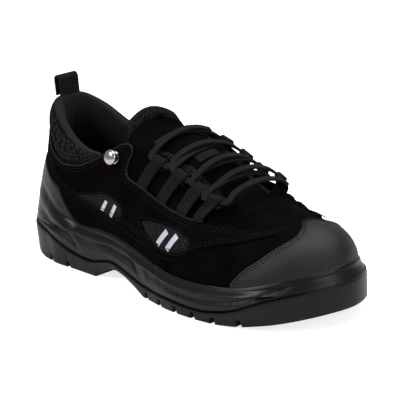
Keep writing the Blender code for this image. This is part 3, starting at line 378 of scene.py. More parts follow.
def flat(points):
    return np.asarray(points, float) * (AROUND_METRES, UP_METRES)


def rounded_outline(corners, spacing=0.0012, closed=True):
    """Points evenly spread on a smooth line through the corners, on the flat pattern. A corner that is given
    twice stays sharp."""
    runs, run = [], []
    corners = list(corners) + ([corners[0]] if closed else [])
    for k, corner in enumerate(corners):
        run.append(corner)
        if k + 1 < len(corners) and corner == corners[k + 1] and len(run) > 1:
            runs.append(run)
            run = []
    runs.append(run)
    line = []
    for run in runs:
        points = flat(run)
        keep = np.concatenate([[True], np.linalg.norm(np.diff(points, axis=0), axis=1) > 1e-7])
        points = points[keep]
        knots = np.concatenate([[0.0], np.cumsum(np.linalg.norm(np.diff(points, axis=0), axis=1) ** 0.5)])
        dense = smooth_line(knots, points, np.linspace(0, knots[-1], 60 * len(points)))
        lengths = lengths_along(dense)
        even = np.linspace(0, lengths[-1], max(3, int(lengths[-1] / spacing)))
        line.append(line_at(even, lengths, dense)[:-1])
    if not closed:
        line.append(dense[-1:])
    return np.concatenate(line)


def distance_to(points, line, closed=True):
    ends = np.roll(line, -1, axis=0) if closed else line[1:]
    starts = line if closed else line[:-1]
    best = np.full(len(points), np.inf)
    for start, end in zip(starts, ends):
        run = end - start
        share = np.clip(((points - start) @ run) / max(run @ run, 1e-16), 0, 1)
        best = np.minimum(best, np.linalg.norm(points - start - share[:, None] * run, axis=1))
    return best


def inside(points, line):
    x, y = points[:, 0], points[:, 1]
    found = np.zeros(len(points), bool)
    for (x0, y0), (x1, y1) in zip(line, np.roll(line, -1, axis=0)):
        crosses = (y0 > y) != (y1 > y)
        found ^= crosses & (x < (x1 - x0) * (y - y0) / (y1 - y0 + 1e-18) + x0)
    return found


def offset_line(line, inset, closed=True):
    """The line moved to its left by the inset, on the flat pattern."""
    if closed:
        run = np.roll(line, -1, axis=0) - np.roll(line, 1, axis=0)
    else:
        run = np.gradient(line, axis=0)
    run /= np.maximum(np.linalg.norm(run, axis=1, keepdims=True), 1e-12)
    return line + np.stack([-run[:, 1], run[:, 0]], -1) * inset


def counter_clockwise(line):
    x, y = line[:, 0], line[:, 1]
    area = np.sum(x * np.roll(y, -1) - np.roll(x, -1) * y)
    return line if area > 0 else line[::-1]


def panel(name, outline, finishes, lift, wall, holes=(), puff=0.0, sewn=(0.0021,)):
    """A cut piece: outline and holes on the flat pattern, raised from the upper by lift, with a rolled edge."""
    borders = [counter_clockwise(outline)] + [counter_clockwise(hole)[::-1] for hole in holes]
    points, edges = [], []
    for border in borders:
        first = len(points)
        points += list(border)
        edges += [(first + k, first + (k + 1) % len(border)) for k in range(len(border))]
    rim = len(points)
    for border in borders:
        for inset in (0.25, 0.6, 1.0, 1.6):
            ring = offset_line(border, inset * EDGE_ROLL)
            keep = np.ones(len(ring), bool)
            for other in borders:
                keep &= distance_to(ring, other) > inset * EDGE_ROLL * 0.93
            points += list(ring[keep][::1 if inset < 1.2 else 2])
    low, high = outline.min(0), outline.max(0)
    xs, ys = np.arange(low[0], high[0], PANEL_STEP), np.arange(low[1], high[1], PANEL_STEP * 0.87)
    grid = np.array([(x + (PANEL_STEP / 2 if k % 2 else 0), y) for k, y in enumerate(ys) for x in xs])
    keep = inside(grid, borders[0])
    for border in borders[1:]:
        keep &= ~inside(grid, border)
    for border in borders:
        keep &= distance_to(grid, border) > EDGE_ROLL * 1.6 + PANEL_STEP * 0.5
    points += list(grid[keep])
    verts, _, faces, _, _, _ = delaunay_2d_cdt([Vector(p) for p in points], edges, [], 1, 1e-7)
    verts = np.array([tuple(v) for v in verts])
    faces = np.array([list(f) for f in faces])
    middle = verts[faces].mean(1)
    keep = inside(middle, borders[0])
    for border in borders[1:]:
        keep &= ~inside(middle, border)
    faces = faces[keep]
    depth = np.full(len(verts), np.inf)
    for border in borders:
        depth = np.minimum(depth, distance_to(verts, border))
    round_edge = np.sqrt(np.maximum(0.0, 1 - (1 - np.minimum(depth / EDGE_ROLL, 1)) ** 2))
    height = lift + wall * round_edge + puff * (1 - np.exp(-depth / 0.007))
    for row in sewn:
        height -= 0.0003 * np.exp(-((depth - row) / 0.0006) ** 2)
    place = verts / (AROUND_METRES, UP_METRES)
    raised = surface(place[:, 0], place[:, 1], height)
    border_edges = {}
    for a, b, c in faces:
        for edge in ((a, b), (b, c), (c, a)):
            key = (min(edge), max(edge))
            border_edges[key] = None if key in border_edges else edge
    loose = [edge for edge in border_edges.values() if edge]
    under = sorted({k for edge in loose for k in edge})
    place_under = {k: len(raised) + n for n, k in enumerate(under)}
    sunk = surface(place[under, 0], place[under, 1], -0.0006)
    skirts = [(b, a, place_under[a], place_under[b]) for a, b in loose]
    all_faces = [tuple(f) for f in faces] + skirts
    made = new_object(name, np.concatenate([raised, sunk]), all_faces, finishes,
                      np.concatenate([verts, verts[under]]))
    first = made.data.polygons[0]
    place_first = place[list(faces[0])].mean(0)
    outward = surface(*place_first, 0.001) - surface(*place_first, 0.0)
    if np.dot(np.array(first.normal), outward) < 0:
        made.data.flip_normals()
    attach(made, "root")
    return made


def mirrored(points):
    return [(-a, u) for a, u in points]


# The side band runs from the front seam on the outer side round the heel to the inner side's front seam.
BAND_SIDE = ((0.597, 0.245), (0.560, 0.225), (0.505, 0.250), (0.465, 0.230), (0.420, 0.262), (0.390, 0.285),
             (0.318, 0.360), (0.260, 0.410), (0.200, 0.450), (0.170, 0.500), (0.140, 0.560), (0.100, 0.620),
             (0.050, 0.665))
band_top = mirrored(BAND_SIDE) + [(0.0, 0.675)] + list(reversed(BAND_SIDE))
RIM_TUCK = 0.012


def rim_up(around):
    return read_line(RIM_LINE, np.abs(around)) - RIM_TUCK


band_ends = np.linspace(0.575, -0.575, 70)
band_foot = np.stack([band_ends * AROUND_METRES, rim_up(band_ends) * UP_METRES], -1)
band_outline = np.concatenate([rounded_outline(band_top, closed=False), band_foot])
side_band = panel("side_band_suede", band_outline, [suede], 0.0002, 0.0013, puff=0.0003)
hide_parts("side_band")

# Quarters: one piece of suede each side, from the heel seam over the ankle to a long tail beside the toes.
# Two windows in it show the mesh below, and its upper edge is bound with a rolled piping.
QUARTER_TOP = ((0.0015, 0.845), (0.050, 0.825), (0.085, 0.805), (0.120, 0.775), (0.155, 0.730), (0.200, 0.725),
               (0.250, 0.820), (0.300, 0.950), (0.348, 0.985), (0.385, 0.990), (0.415, 0.988), (0.434, 0.965),
               (0.442, 0.900), (0.433, 0.820), (0.430, 0.720), (0.440, 0.670), (0.470, 0.640), (0.518, 0.608),
               (0.572, 0.588), (0.608, 0.586), (0.644, 0.606), (0.664, 0.629), (0.682, 0.652), (0.694, 0.634),
               (0.708, 0.607), (0.725, 0.607), (0.748, 0.609), (0.775, 0.622), (0.800, 0.640), (0.825, 0.653),
               (0.878, 0.664))
QUARTER_FOOT = ((0.878, 0.664), (0.832, 0.588), (0.790, 0.521), (0.749, 0.460), (0.715, 0.413), (0.700, 0.403),
                (0.687, 0.391), (0.671, 0.361), (0.637, 0.290), (0.597, 0.225), (0.560, 0.210), (0.505, 0.235),
                (0.465, 0.215), (0.420, 0.245), (0.390, 0.268), (0.318, 0.345), (0.260, 0.395), (0.200, 0.435),
                (0.170, 0.485), (0.140, 0.545), (0.100, 0.605), (0.050, 0.650), (0.0015, 0.660))
WINDOW_BACK = ((0.255, 0.440), (0.290, 0.520), (0.335, 0.545), (0.378, 0.480), (0.412, 0.380), (0.405, 0.310),
               (0.375, 0.300), (0.320, 0.372))
WINDOW_FRONT = ((0.486, 0.365), (0.525, 0.408), (0.565, 0.435), (0.610, 0.446), (0.643, 0.410), (0.643, 0.345),
                (0.612, 0.275), (0.560, 0.245), (0.508, 0.270))
quarter_edges, quarter_windows = {}, {}
for side, side_name in ((-1, "lateral"), (1, "medial")):
    turned = mirrored if side < 0 else list
    top = rounded_outline(turned(QUARTER_TOP), closed=False)
    foot = rounded_outline(turned(QUARTER_FOOT), closed=False)
    outline = np.concatenate([top[:-1], foot[:-1]])
    windows = [rounded_outline(turned(window)) for window in (WINDOW_BACK, WINDOW_FRONT)]
    quarter = panel("quarter_suede_" + side_name, outline, [suede], 0.0003, 0.0014, holes=windows, puff=0.0005,
                    sewn=(0.0021, 0.0045))
    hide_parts("quarter_" + side_name)
    quarter_edges[side] = (top, foot)
    quarter_windows[side] = windows

# Toe cap cover: coated leather with a fine woven print, over the front of the foot, sewn down with two rows.
toe_leather = finish_of("toe_cap_leather", (0.0080, 0.0077, 0.0073), 0.46, gloss=0.26)


def add_print(made, pitch):
    """A grid of small raised squares on the flat pattern, pitch metres apart."""
    place = add_node(made, "ShaderNodeUVMap", uv_map="pattern")
    parts = add_node(made, "ShaderNodeSeparateXYZ")
    links = made.node_tree.links
    links.new(place.outputs["UV"], parts.inputs[0])
    waves = []
    for axis in ("X", "Y"):
        scaled = add_node(made, "ShaderNodeMath", operation="MULTIPLY")
        scaled.inputs[1].default_value = 2 * math.pi / pitch
        links.new(parts.outputs[axis], scaled.inputs[0])
        wave = add_node(made, "ShaderNodeMath", operation="SINE")
        links.new(scaled.outputs[0], wave.inputs[0])
        waves.append(wave)
    product = add_node(made, "ShaderNodeMath", operation="MULTIPLY")
    links.new(waves[0].outputs[0], product.inputs[0])
    links.new(waves[1].outputs[0], product.inputs[1])
    centred = add_node(made, "ShaderNodeMath", operation="MULTIPLY_ADD")
    centred.inputs[1].default_value = 0.5
    centred.inputs[2].default_value = 0.5
    links.new(product.outputs[0], centred.inputs[0])
    return centred.outputs[0]


TOE_PRINT = 0.0021
add_tones(toe_leather, add_print(toe_leather, TOE_PRINT), (0.0030, 0.0029, 0.0027), (0.0150, 0.0146, 0.0140),
          0.2, 0.8)
toe_print = add_relief(toe_leather, add_print(toe_leather, TOE_PRINT), 0.5, 0.0003)
add_relief(toe_leather, add_noise(toe_leather, 300.0, 3.0), 0.12, 0.0004, after=toe_print)
CAP_SIDE = ((0.755, 0.085), (0.768, 0.160), (0.785, 0.235), (0.812, 0.315), (0.845, 0.420), (0.885, 0.535),
            (0.907, 0.620), (0.925, 0.725), (0.953, 0.900), (0.985, 0.955))
cap_line = [(a % 2.0, u) for a, u in CAP_SIDE] + [(1.0, 0.958)] + [(2.0 - a, u) for a, u in reversed(CAP_SIDE)]
cap_ends = np.linspace(1.245, 0.755, 90)
cap_foot = np.stack([cap_ends * AROUND_METRES, rim_up(wrapped(cap_ends)) * UP_METRES], -1)
toe_cap = panel("toe_cap_cover", np.concatenate([rounded_outline(cap_line, closed=False), cap_foot]),
                [toe_leather], 0.0003, 0.0016, sewn=(0.0023, 0.0046))
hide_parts("toe_cap")

# Window mesh: an open knit over a foam backing, seen through the quarters' windows. A dark blue tape with two
# silvery bars is sewn across each.
window_knit = finish_of("window_knit", (0.0050, 0.0052, 0.0055), 0.8, gloss=0.10)


def add_cells(made, size, squeeze=1.0, loose=0.55):
    """Rounded knit cells on the flat pattern."""
    place = add_node(made, "ShaderNodeUVMap", uv_map="pattern")
    scaled = add_node(made, "ShaderNodeMapping")
    scaled.inputs["Scale"].default_value = (1 / size, squeeze / size, 1.0)
    cells = add_node(made, "ShaderNodeTexVoronoi", feature="F1", voronoi_dimensions="2D")
    cells.inputs["Scale"].default_value = 1.0
    cells.inputs["Randomness"].default_value = loose
    made.node_tree.links.new(place.outputs["UV"], scaled.inputs["Vector"])
    made.node_tree.links.new(scaled.outputs["Vector"], cells.inputs["Vector"])
    return cells.outputs["Distance"]


WINDOW_CELLS = (0.0023, 1.3, 0.45)
# Painted highlight and painted shade: the raised cell tops are painted light. The holes between them are painted
# dark, partly the dark backing seen through the open knit and partly painted shade.
add_tones(window_knit, add_cells(window_knit, *WINDOW_CELLS), (0.0190, 0.0195, 0.0200), (0.0008, 0.0008, 0.0009),
          0.22, 0.50)
add_relief(window_knit, add_cells(window_knit, *WINDOW_CELLS), -1.0, 0.0010)
tape_navy = finish_of("tape_navy", (0.0030, 0.0038, 0.0085), 0.55, gloss=0.15)
tape_silver = finish_of("tape_silver", (0.62, 0.64, 0.68), 0.42)
tape_silver.node_tree.nodes["Principled BSDF"].inputs["Metallic"].default_value = 0.35
add_relief(tape_silver, add_print(tape_silver, 0.0012), 0.35, 0.0002)
# Each bar's upper and lower end as (around, up)
BARS = ((((0.358, 0.465), (0.340, 0.350)), ((0.392, 0.420), (0.370, 0.300))),
        (((0.582, 0.410), (0.551, 0.262)), ((0.612, 0.415), (0.584, 0.262))))
BAR_HALF = 0.0019
TAPE_MARGIN = 0.0012
STRIP_LONG, STRIP_WIDE = 46, 15


def strip(name, side, left, right, past, finish, rise, bounds):
    """A strip between two lines on the flat pattern, each given by its ends, kept inside the bounds."""
    t = np.linspace(-past, 1 + past, STRIP_LONG)[:, None, None]
    s = np.linspace(0.0, 1.0, STRIP_WIDE)[None, :, None]
    left, right = (flat([(side * a, u) for a, u in ends]) for ends in (left, right))
    place = (left[0] * (1 - t) + left[1] * t) * (1 - s) + (right[0] * (1 - t) + right[1] * t) * s
    thick = 0.00018 * (1 - (2 * s[..., 0] - 1) ** 6)
    points = surface(place[..., 0] / AROUND_METRES, place[..., 1] / UP_METRES, rise + thick)
    faces = grid_faces(STRIP_LONG, STRIP_WIDE)
    middle = place.reshape(-1, 2)[np.array(faces)].mean(1)
    keep = inside(middle, bounds)
    faces = [face for face, k in zip(faces, keep) if k]
    used = sorted({k for face in faces for k in face})
    number = {k: n for n, k in enumerate(used)}
    made = new_object(name, points.reshape(-1, 3)[used],
                      [tuple(number[k] for k in face) for face in faces], [finish], place.reshape(-1, 2)[used])
    first = made.data.polygons[0]
    here = place.reshape(-1, 2)[faces[0][0]] / (AROUND_METRES, UP_METRES)
    if np.dot(np.array(first.normal), surface(*here, 0.001) - surface(*here)) < 0:
        made.data.flip_normals()
    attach(made, "root")


def beside(ends, shift):
    """A bar's line moved sideways on the flat pattern."""
    top, foot = flat(ends)
    run = (foot - top) / np.linalg.norm(foot - top)
    aside = np.array([-run[1], run[0]]) * shift
    return [tuple((point + aside) / (AROUND_METRES, UP_METRES)) for point in (top, foot)]


for side, side_name in ((-1, "lateral"), (1, "medial")):
    for number, window in enumerate(quarter_windows[side], 1):
        outline = counter_clockwise(window)
        knit = panel("window_knit_%s_%d" % (side_name, number), offset_line(outline, -0.002), [window_knit],
                     0.0002, 0.0004, puff=0.0007, sewn=())
        bounds = offset_line(outline, -0.0012)
        first, second = BARS[number - 1]
        strip("window_tape_%s_%d" % (side_name, number), side, beside(first, -BAR_HALF - TAPE_MARGIN),
              beside(second, BAR_HALF + TAPE_MARGIN), 0.6, tape_navy, 0.0012, bounds)
        for letter, bar in (("a", first), ("b", second)):
            strip("window_bar_%s_%d%s" % (side_name, number, letter), side, beside(bar, -BAR_HALF),
                  beside(bar, BAR_HALF), 0.0, tape_silver, 0.0015, bounds)

# Piping: a thin rolled cord of smooth leather along each quarter's upper edge, from the heel seam round the
# stud down to the lowest loop, under which it ends.
piping_leather = finish_of("piping_leather", (0.0055, 0.0052, 0.0047), 0.55, gloss=0.14)
add_relief(piping_leather, add_noise(piping_leather, 700.0, 2.0), 0.2, 0.0002)
PIPING_RADIUS, PIPING_SIDES, PIPING_LIFT, PIPING_END = 0.00082, 8, 0.0014, 0.664


def cord_along(name, path, radius, finish, sides):
    """A round cord along a path of points."""
    path = np.array(path)
    ahead = np.gradient(path, axis=0)
    ahead = unit(ahead)
    across, turned = np.cross(ahead[0], (0.0, 0.0, 1.0)), []
    for along in ahead:
        across = across - along * np.dot(across, along)
        across /= np.linalg.norm(across)
        turned.append(np.cross(along, across))
    outward = np.array(turned)
    outward = outward - ahead * np.sum(outward * ahead, axis=1, keepdims=True)
    outward = unit(outward)
    across = np.cross(ahead, outward)
    angles = np.linspace(0, 2 * math.pi, sides, endpoint=False)
    rings = (path[:, None] + radius * (across[:, None] * np.cos(angles)[None, :, None]
                                       + outward[:, None] * np.sin(angles)[None, :, None]))
    lengths = lengths_along(path)
    cord_flat = np.stack([np.repeat(lengths[:, None], sides, 1),
                          np.repeat((angles * radius)[None], len(path), 0)], -1)
    faces = grid_faces(len(path), sides, along=True)
    faces += [tuple(range(sides)), tuple(range((len(path) - 1) * sides, len(path) * sides))[::-1]]
    made = new_object(name, rings.reshape(-1, 3), faces, [finish], cord_flat.reshape(-1, 2))
    shape = bmesh.new()
    shape.from_mesh(made.data)
    if shape.calc_volume(signed=True) < 0:
        made.data.flip_normals()
    shape.free()
    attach(made, "root")
    return made


for side, side_name in ((-1, "lateral"), (1, "medial")):
    place = quarter_edges[side][0][4:] / (AROUND_METRES, UP_METRES)
    place = place[np.abs(place[:, 0]) < PIPING_END]
    piping = cord_along("piping_" + side_name, surface(place[:, 0], place[:, 1], PIPING_LIFT), PIPING_RADIUS,
                        piping_leather, PIPING_SIDES)

# Stitching: waxed black thread in short, slightly sunken stitches. One row runs round each window and along the
# side band, and two rows beside the other sewn edges.
thread = finish_of("sewing_thread", (0.0050, 0.0047, 0.0042), 0.70, gloss=0.10)
STITCH_LENGTH = 0.0021
STITCH_GAP = 0.0009
STITCH_RADIUS = 0.00030
STITCH_RINGS, STITCH_SIDES = 5, 6


def stitch_row(name, line, lift):
    """Stitches along a line on the flat pattern, all in one piece."""
    lengths = lengths_along(line)
    starts = np.arange(STITCH_GAP, lengths[-1] - STITCH_LENGTH, STITCH_LENGTH + STITCH_GAP)
    shares = np.array([0.0, 0.12, 0.5, 0.88, 1.0])
    sizes = np.array([0.25, 0.85, 1.0, 0.85, 0.25])
    rises = np.array([-0.45, 0.05, 0.30, 0.05, -0.45]) * STITCH_RADIUS
    at = (starts[:, None] + shares * STITCH_LENGTH)
    where = line_at(at, lengths, line) / (AROUND_METRES, UP_METRES)
    middle = surface(where[..., 0], where[..., 1], lift + rises[None, :])
    above = surface(where[..., 0], where[..., 1], lift + rises[None, :] + 0.001) - middle
    above = unit(above)
    ahead = np.gradient(middle, axis=1)
    across = np.cross(ahead, above)
    across = unit(across)
    angles = np.linspace(0, 2 * math.pi, STITCH_SIDES, endpoint=False)
    rings = middle[:, :, None] + (sizes[None, :, None, None] * STITCH_RADIUS
                                  * (across[:, :, None] * np.cos(angles)[None, None, :, None] * 1.25
                                     + above[:, :, None] * np.sin(angles)[None, None, :, None]))
    faces = []
    for k in range(len(starts)):
        first = k * STITCH_RINGS * STITCH_SIDES
        last = first + (STITCH_RINGS - 1) * STITCH_SIDES
        faces += [tuple(first + c for c in face) for face in grid_faces(STITCH_RINGS, STITCH_SIDES, along=True)]
        faces += [tuple(first + c for c in range(STITCH_SIDES)),
                  tuple(last + c for c in reversed(range(STITCH_SIDES)))]
    made = new_object(name, rings.reshape(-1, 3), faces, [thread])
    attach(made, "root")


def inward(line, outline, inset):
    """The line moved by the inset towards the inside of its piece's outline."""
    moved = offset_line(line, inset, False)
    return moved if inside(moved, outline).mean() > 0.5 else offset_line(line, -inset, False)


for side, side_name in ((-1, "lateral"), (1, "medial")):
    top, foot = quarter_edges[side]
    outline = np.concatenate([top[:-1], foot[:-1]])
    for row, inset in enumerate((0.0026, 0.0050), 1):
        stitch_row("stitches_quarter_top_%s_%d" % (side_name, row), inward(top, outline, inset), 0.0017)
    for row, inset in enumerate((0.0021, 0.0044), 1):
        stitch_row("stitches_quarter_foot_%s_%d" % (side_name, row), inward(foot, outline, inset), 0.0017)
    for number, window in enumerate(quarter_windows[side], 1):
        ring = offset_line(counter_clockwise(window), -0.0019)
        stitch_row("stitches_window_%s_%d" % (side_name, number), np.concatenate([ring, ring[:1]]), 0.0017)
    bridge = rounded_outline([(side * 0.514, 0.600), (side * 0.487, 0.520), (side * 0.468, 0.440),
                              (side * 0.452, 0.360), (side * 0.447, 0.270)], closed=False)
    for row, shift in enumerate((-0.0011, 0.0011), 1):
        stitch_row("stitches_bridge_%s_%d" % (side_name, row), offset_line(bridge, shift, False), 0.0018)
cap_edge = rounded_outline(cap_line, closed=False)
cap_outline = np.concatenate([cap_edge, cap_foot])
for row, inset in enumerate((0.0023, 0.0046), 1):
    stitch_row("stitches_toe_cap_%d" % row, inward(cap_edge, cap_outline, inset), 0.0018)
band_edge = rounded_outline(band_top, closed=False)
stitch_row("stitches_side_band", inward(band_edge, band_outline, 0.0046), 0.0016)

# Collar: a foam roll round the ankle, knitted cloth outside, smooth lining over the top and inside.
collar_knit = finish_of("collar_knit", (0.0080, 0.0080, 0.0083), 0.85, gloss=0.10)
COLLAR_CELLS = (0.0031, 0.85, 0.62)
# Painted highlight and painted shade: the raised cell tops are painted light and the sunken gaps between the
# cells dark.
add_tones(collar_knit, add_cells(collar_knit, *COLLAR_CELLS), (0.0150, 0.0150, 0.0154), (0.0004, 0.0004, 0.0004),
          0.18, 0.46)
add_relief(collar_knit, add_cells(collar_knit, *COLLAR_CELLS), -1.0, 0.0016)
lining_roll = finish_of("lining_roll", (0.0085, 0.0080, 0.0075), 0.75, sheen=0.03, gloss=0.12)
add_relief(lining_roll, add_noise(lining_roll, 1500.0, 2.0), 0.35, 0.0002)
PAD_THICKNESS = 0.0085
PAD_BULGE = 0.0024
PAD_ROLL = 0.0030
PAD_SPAN = 0.318
PAD_COLUMNS = 190
PAD_RISE = 56
PAD_FULL_TO, PAD_TAPER = 0.294, 0.024
KNIT_UP_TO = 3.95
pad_around = PAD_SPAN * np.sin(np.linspace(-math.pi / 2, math.pi / 2, PAD_COLUMNS))
pad_past = np.clip(np.abs(pad_around) - PAD_FULL_TO, 0, 1) / PAD_TAPER
pad_full = np.sqrt(np.clip(1 - pad_past ** 2, 0.01, 1))
pad_wall = PAD_THICKNESS * pad_full
pad_top = np.minimum(1.0, read_line(QUARTER_TOP_LINE, np.abs(pad_around)))
pad_open = 1.0 - pad_top
swell = PAD_BULGE * np.minimum(1.0, pad_open / 0.15)
lifted = np.zeros((PAD_COLUMNS, 3))
lifted[:, 2] = PAD_ROLL * pad_full
pad_section = [surface(pad_around, pad_top - 0.05, -0.0005),
               surface(pad_around, pad_top + pad_open * 0.08, 0.0004),
               surface(pad_around, pad_top + pad_open * 0.40, swell),
               surface(pad_around, pad_top + pad_open * 0.80, swell * 0.8),
               surface(pad_around, 1.0, -pad_wall * 0.14) + lifted * 0.75,
               surface(pad_around, 1.0, -pad_wall * 0.50) + lifted * 1.05,
               surface(pad_around, 1.0, -pad_wall * 0.88) + lifted * 0.6,
               surface(pad_around, pad_top + pad_open * 0.45, -pad_wall * 1.08),
               surface(pad_around, pad_top - 0.06, -pad_wall * 1.02),
               surface(pad_around, pad_top - 0.22, -pad_wall * 0.75),
               surface(pad_around, pad_top - 0.34, -UPPER_WALL - 0.0004)]
pad_section = np.array(pad_section)
pad_at = np.linspace(0, len(pad_section) - 1, PAD_RISE)
pad_points = np.stack([smooth_through(np.arange(len(pad_section)), pad_section[:, c, k], pad_at)
                       for c in range(PAD_COLUMNS) for k in range(3)], 0)
pad_points = pad_points.reshape(PAD_COLUMNS, 3, PAD_RISE).transpose(0, 2, 1)
pad_steps = lengths_along(pad_points[PAD_COLUMNS // 2])
pad_flat = np.stack([np.repeat(pad_around[:, None] * AROUND_METRES, PAD_RISE, 1),
                     np.repeat(pad_steps[None], PAD_COLUMNS, 0)], -1)
pad_faces = grid_faces(PAD_COLUMNS, PAD_RISE)
pad_slots = [0 if pad_at[f % (PAD_RISE - 1)] < KNIT_UP_TO else 1 for f in range(len(pad_faces))]
pad_faces += [tuple(range(PAD_RISE)), tuple(range((PAD_COLUMNS - 1) * PAD_RISE, PAD_COLUMNS * PAD_RISE))[::-1]]
pad_slots += [1, 1]
collar_pad = new_object("collar_roll", pad_points.reshape(-1, 3), pad_faces, [collar_knit, lining_roll],
                        pad_flat.reshape(-1, 2), pad_slots)
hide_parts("collar_pad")
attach(collar_pad, "root")

# Tongue: a foam pad between knit and lining, with a suede panel sewn on its middle and a rolled knit top edge.
# It is sewn to the upper below the lacing and lies loose above it.
TONGUE_WALL = 0.0065
TONGUE_CLEARANCE = 0.0007
TONGUE_LEVELS = (0.76, 0.87, 0.97)
TONGUE_CROWN = 0.16
TONGUE_LEAN = (-0.42, 0.0, 0.91)
TONGUE_ROWS = ((0.42, 0.016, 0.84), (0.42, 0.008, 0.91), (0.43, 0.0, 0.97), (0.46, 0.0, 1.0), (0.50, 0.0, 1.0),
               (0.55, 0.0, 1.0), (0.60, 0.0, 1.0), (0.64, -0.002, 0.97), (0.675, -0.006, 0.88))


def tongue_section(place, rise, spread):
    depth = UPPER_WALL + TONGUE_CLEARANCE
    under = [surface(-place, level, -depth) for level in TONGUE_LEVELS]
    over = [surface(place, level, -depth) for level in reversed(TONGUE_LEVELS)]
    left, right = under[-1], over[0]
    bridge = []
    for share in (0.2, 0.4, 0.6, 0.8):
        point = left + (right - left) * share
        point[2] += (right - left)[1] * TONGUE_CROWN * (4 * share * (1 - share))
        bridge.append(point)
    middle = (left + right) / 2
    return [middle + (point - middle) * (1.0, spread, 1.0) + np.array(TONGUE_LEAN) * rise
            for point in under + bridge + over]


TONGUE_LONG, TONGUE_WIDE = 190, 130
tongue_knots = [np.array(tongue_section(*row)) for row in TONGUE_ROWS[:-1]]
for reach, sink, spread in ((0.013, -0.0046, 0.94), (0.028, -0.0112, 0.86), (0.042, -0.0170, 0.80)):
    middle = tongue_knots[7].mean(0)
    tongue_knots.append(middle + (tongue_knots[7] - middle) * (1.0, spread, 0.9) + np.array([reach, 0.0, sink]))
tongue_knots = np.array(tongue_knots)
TONGUE_KNOTS = len(tongue_knots)
wide_at = np.linspace(0, 9, TONGUE_WIDE)
long_at = np.linspace(0, TONGUE_KNOTS - 1, TONGUE_LONG)
tongue_wide = np.array([[smooth_through(np.arange(10), tongue_knots[r, :, k], wide_at) for k in range(3)]
                        for r in range(TONGUE_KNOTS)]).transpose(0, 2, 1)
tongue_base = np.array([[smooth_through(np.arange(TONGUE_KNOTS), tongue_wide[:, c, k], long_at)
                         for k in range(3)] for c in range(TONGUE_WIDE)]).transpose(2, 0, 1)
along_steps = np.linalg.norm(np.diff(tongue_base, axis=0), axis=2)
along_metres = np.concatenate([np.zeros((1, TONGUE_WIDE)), np.cumsum(along_steps, axis=0)])
across_steps = np.linalg.norm(np.diff(tongue_base, axis=1), axis=2)
across_metres = np.concatenate([np.zeros((TONGUE_LONG, 1)), np.cumsum(across_steps, axis=1)], 1)
across_left = across_metres[:, -1:] - across_metres
tongue_out = np.cross(np.gradient(tongue_base, axis=1), np.gradient(tongue_base, axis=0))
tongue_out = unit(tongue_out)
tongue_out *= np.sign(tongue_out[..., 2:3].mean())
edge_near = np.minimum(np.minimum(across_metres, across_left), along_metres)
TONGUE_ROUND = 0.0036
edge_turn = 1 - np.sqrt(np.maximum(0.0, 1 - (1 - np.minimum(edge_near / TONGUE_ROUND, 1)) ** 2))
# The suede panel's raised area, and the seam that draws in below the knitted roll at the top
half_metres = np.abs(across_metres - across_left) / 2
PANEL_HALF = np.interp(along_metres, [0.0, 0.012, 0.045, 0.075, 0.12], [0.034, 0.032, 0.020, 0.0165, 0.0150])
panel_edge = np.minimum(PANEL_HALF - half_metres, along_metres - 0.0085)
suede_rise = 0.0009 / (1 + np.exp(-panel_edge / 0.00028))
seam_sink = 0.0009 * np.exp(-(panel_edge / 0.0008) ** 2)
seam_sink = seam_sink + 0.0004 * np.exp(-((panel_edge - 0.0024) / 0.0006) ** 2)
tongue_swell = 0.0009 * np.clip(edge_near / 0.010, 0, 1) * (panel_edge < 0) + suede_rise - seam_sink
tongue_top = tongue_base + tongue_out * (tongue_swell - edge_turn * TONGUE_WALL / 2 - 0.0004)[..., None]
tongue_under = tongue_base - tongue_out * (TONGUE_WALL - edge_turn * TONGUE_WALL / 2)[..., None]
tongue_points = np.concatenate([tongue_top, tongue_under])
tongue_faces = grid_faces(TONGUE_LONG, TONGUE_WIDE)
tongue_slots = [1 if panel_edge[f // (TONGUE_WIDE - 1), f % (TONGUE_WIDE - 1)] > 0 else 0
                for f in range(len(tongue_faces))]
below = TONGUE_LONG * TONGUE_WIDE
tongue_faces += [tuple(below + k for k in reversed(face)) for face in grid_faces(TONGUE_LONG, TONGUE_WIDE)]
tongue_slots += [2] * (len(tongue_faces) - len(tongue_slots))
rim_loop = ([(r, 0) for r in range(TONGUE_LONG)] + [(TONGUE_LONG - 1, c) for c in range(1, TONGUE_WIDE)]
            + [(r, TONGUE_WIDE - 1) for r in range(TONGUE_LONG - 2, -1, -1)]
            + [(0, c) for c in range(TONGUE_WIDE - 2, 0, -1)])
for (r0, c0), (r1, c1) in zip(rim_loop, rim_loop[1:] + rim_loop[:1]):
    a, b = r0 * TONGUE_WIDE + c0, r1 * TONGUE_WIDE + c1
    tongue_faces.append((a, b, below + b, below + a))
    tongue_slots.append(0)
tongue_flat = np.stack([across_metres - across_left, along_metres], -1).reshape(-1, 2)
tongue = new_object("tongue_pad", tongue_points.reshape(-1, 3), tongue_faces, [collar_knit, suede, lining],
                    np.concatenate([tongue_flat, tongue_flat]), tongue_slots)


def face_outwards(made):
    """Turns the faces of a closed piece outwards."""
    shape = bmesh.new()
    shape.from_mesh(made.data)
    bmesh.ops.recalc_face_normals(shape, faces=shape.faces)
    if shape.calc_volume(signed=True) < 0:
        bmesh.ops.reverse_faces(shape, faces=shape.faces)
    shape.to_mesh(made.data)
    shape.free()


face_outwards(tongue)
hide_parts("tongue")
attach(tongue, "root")

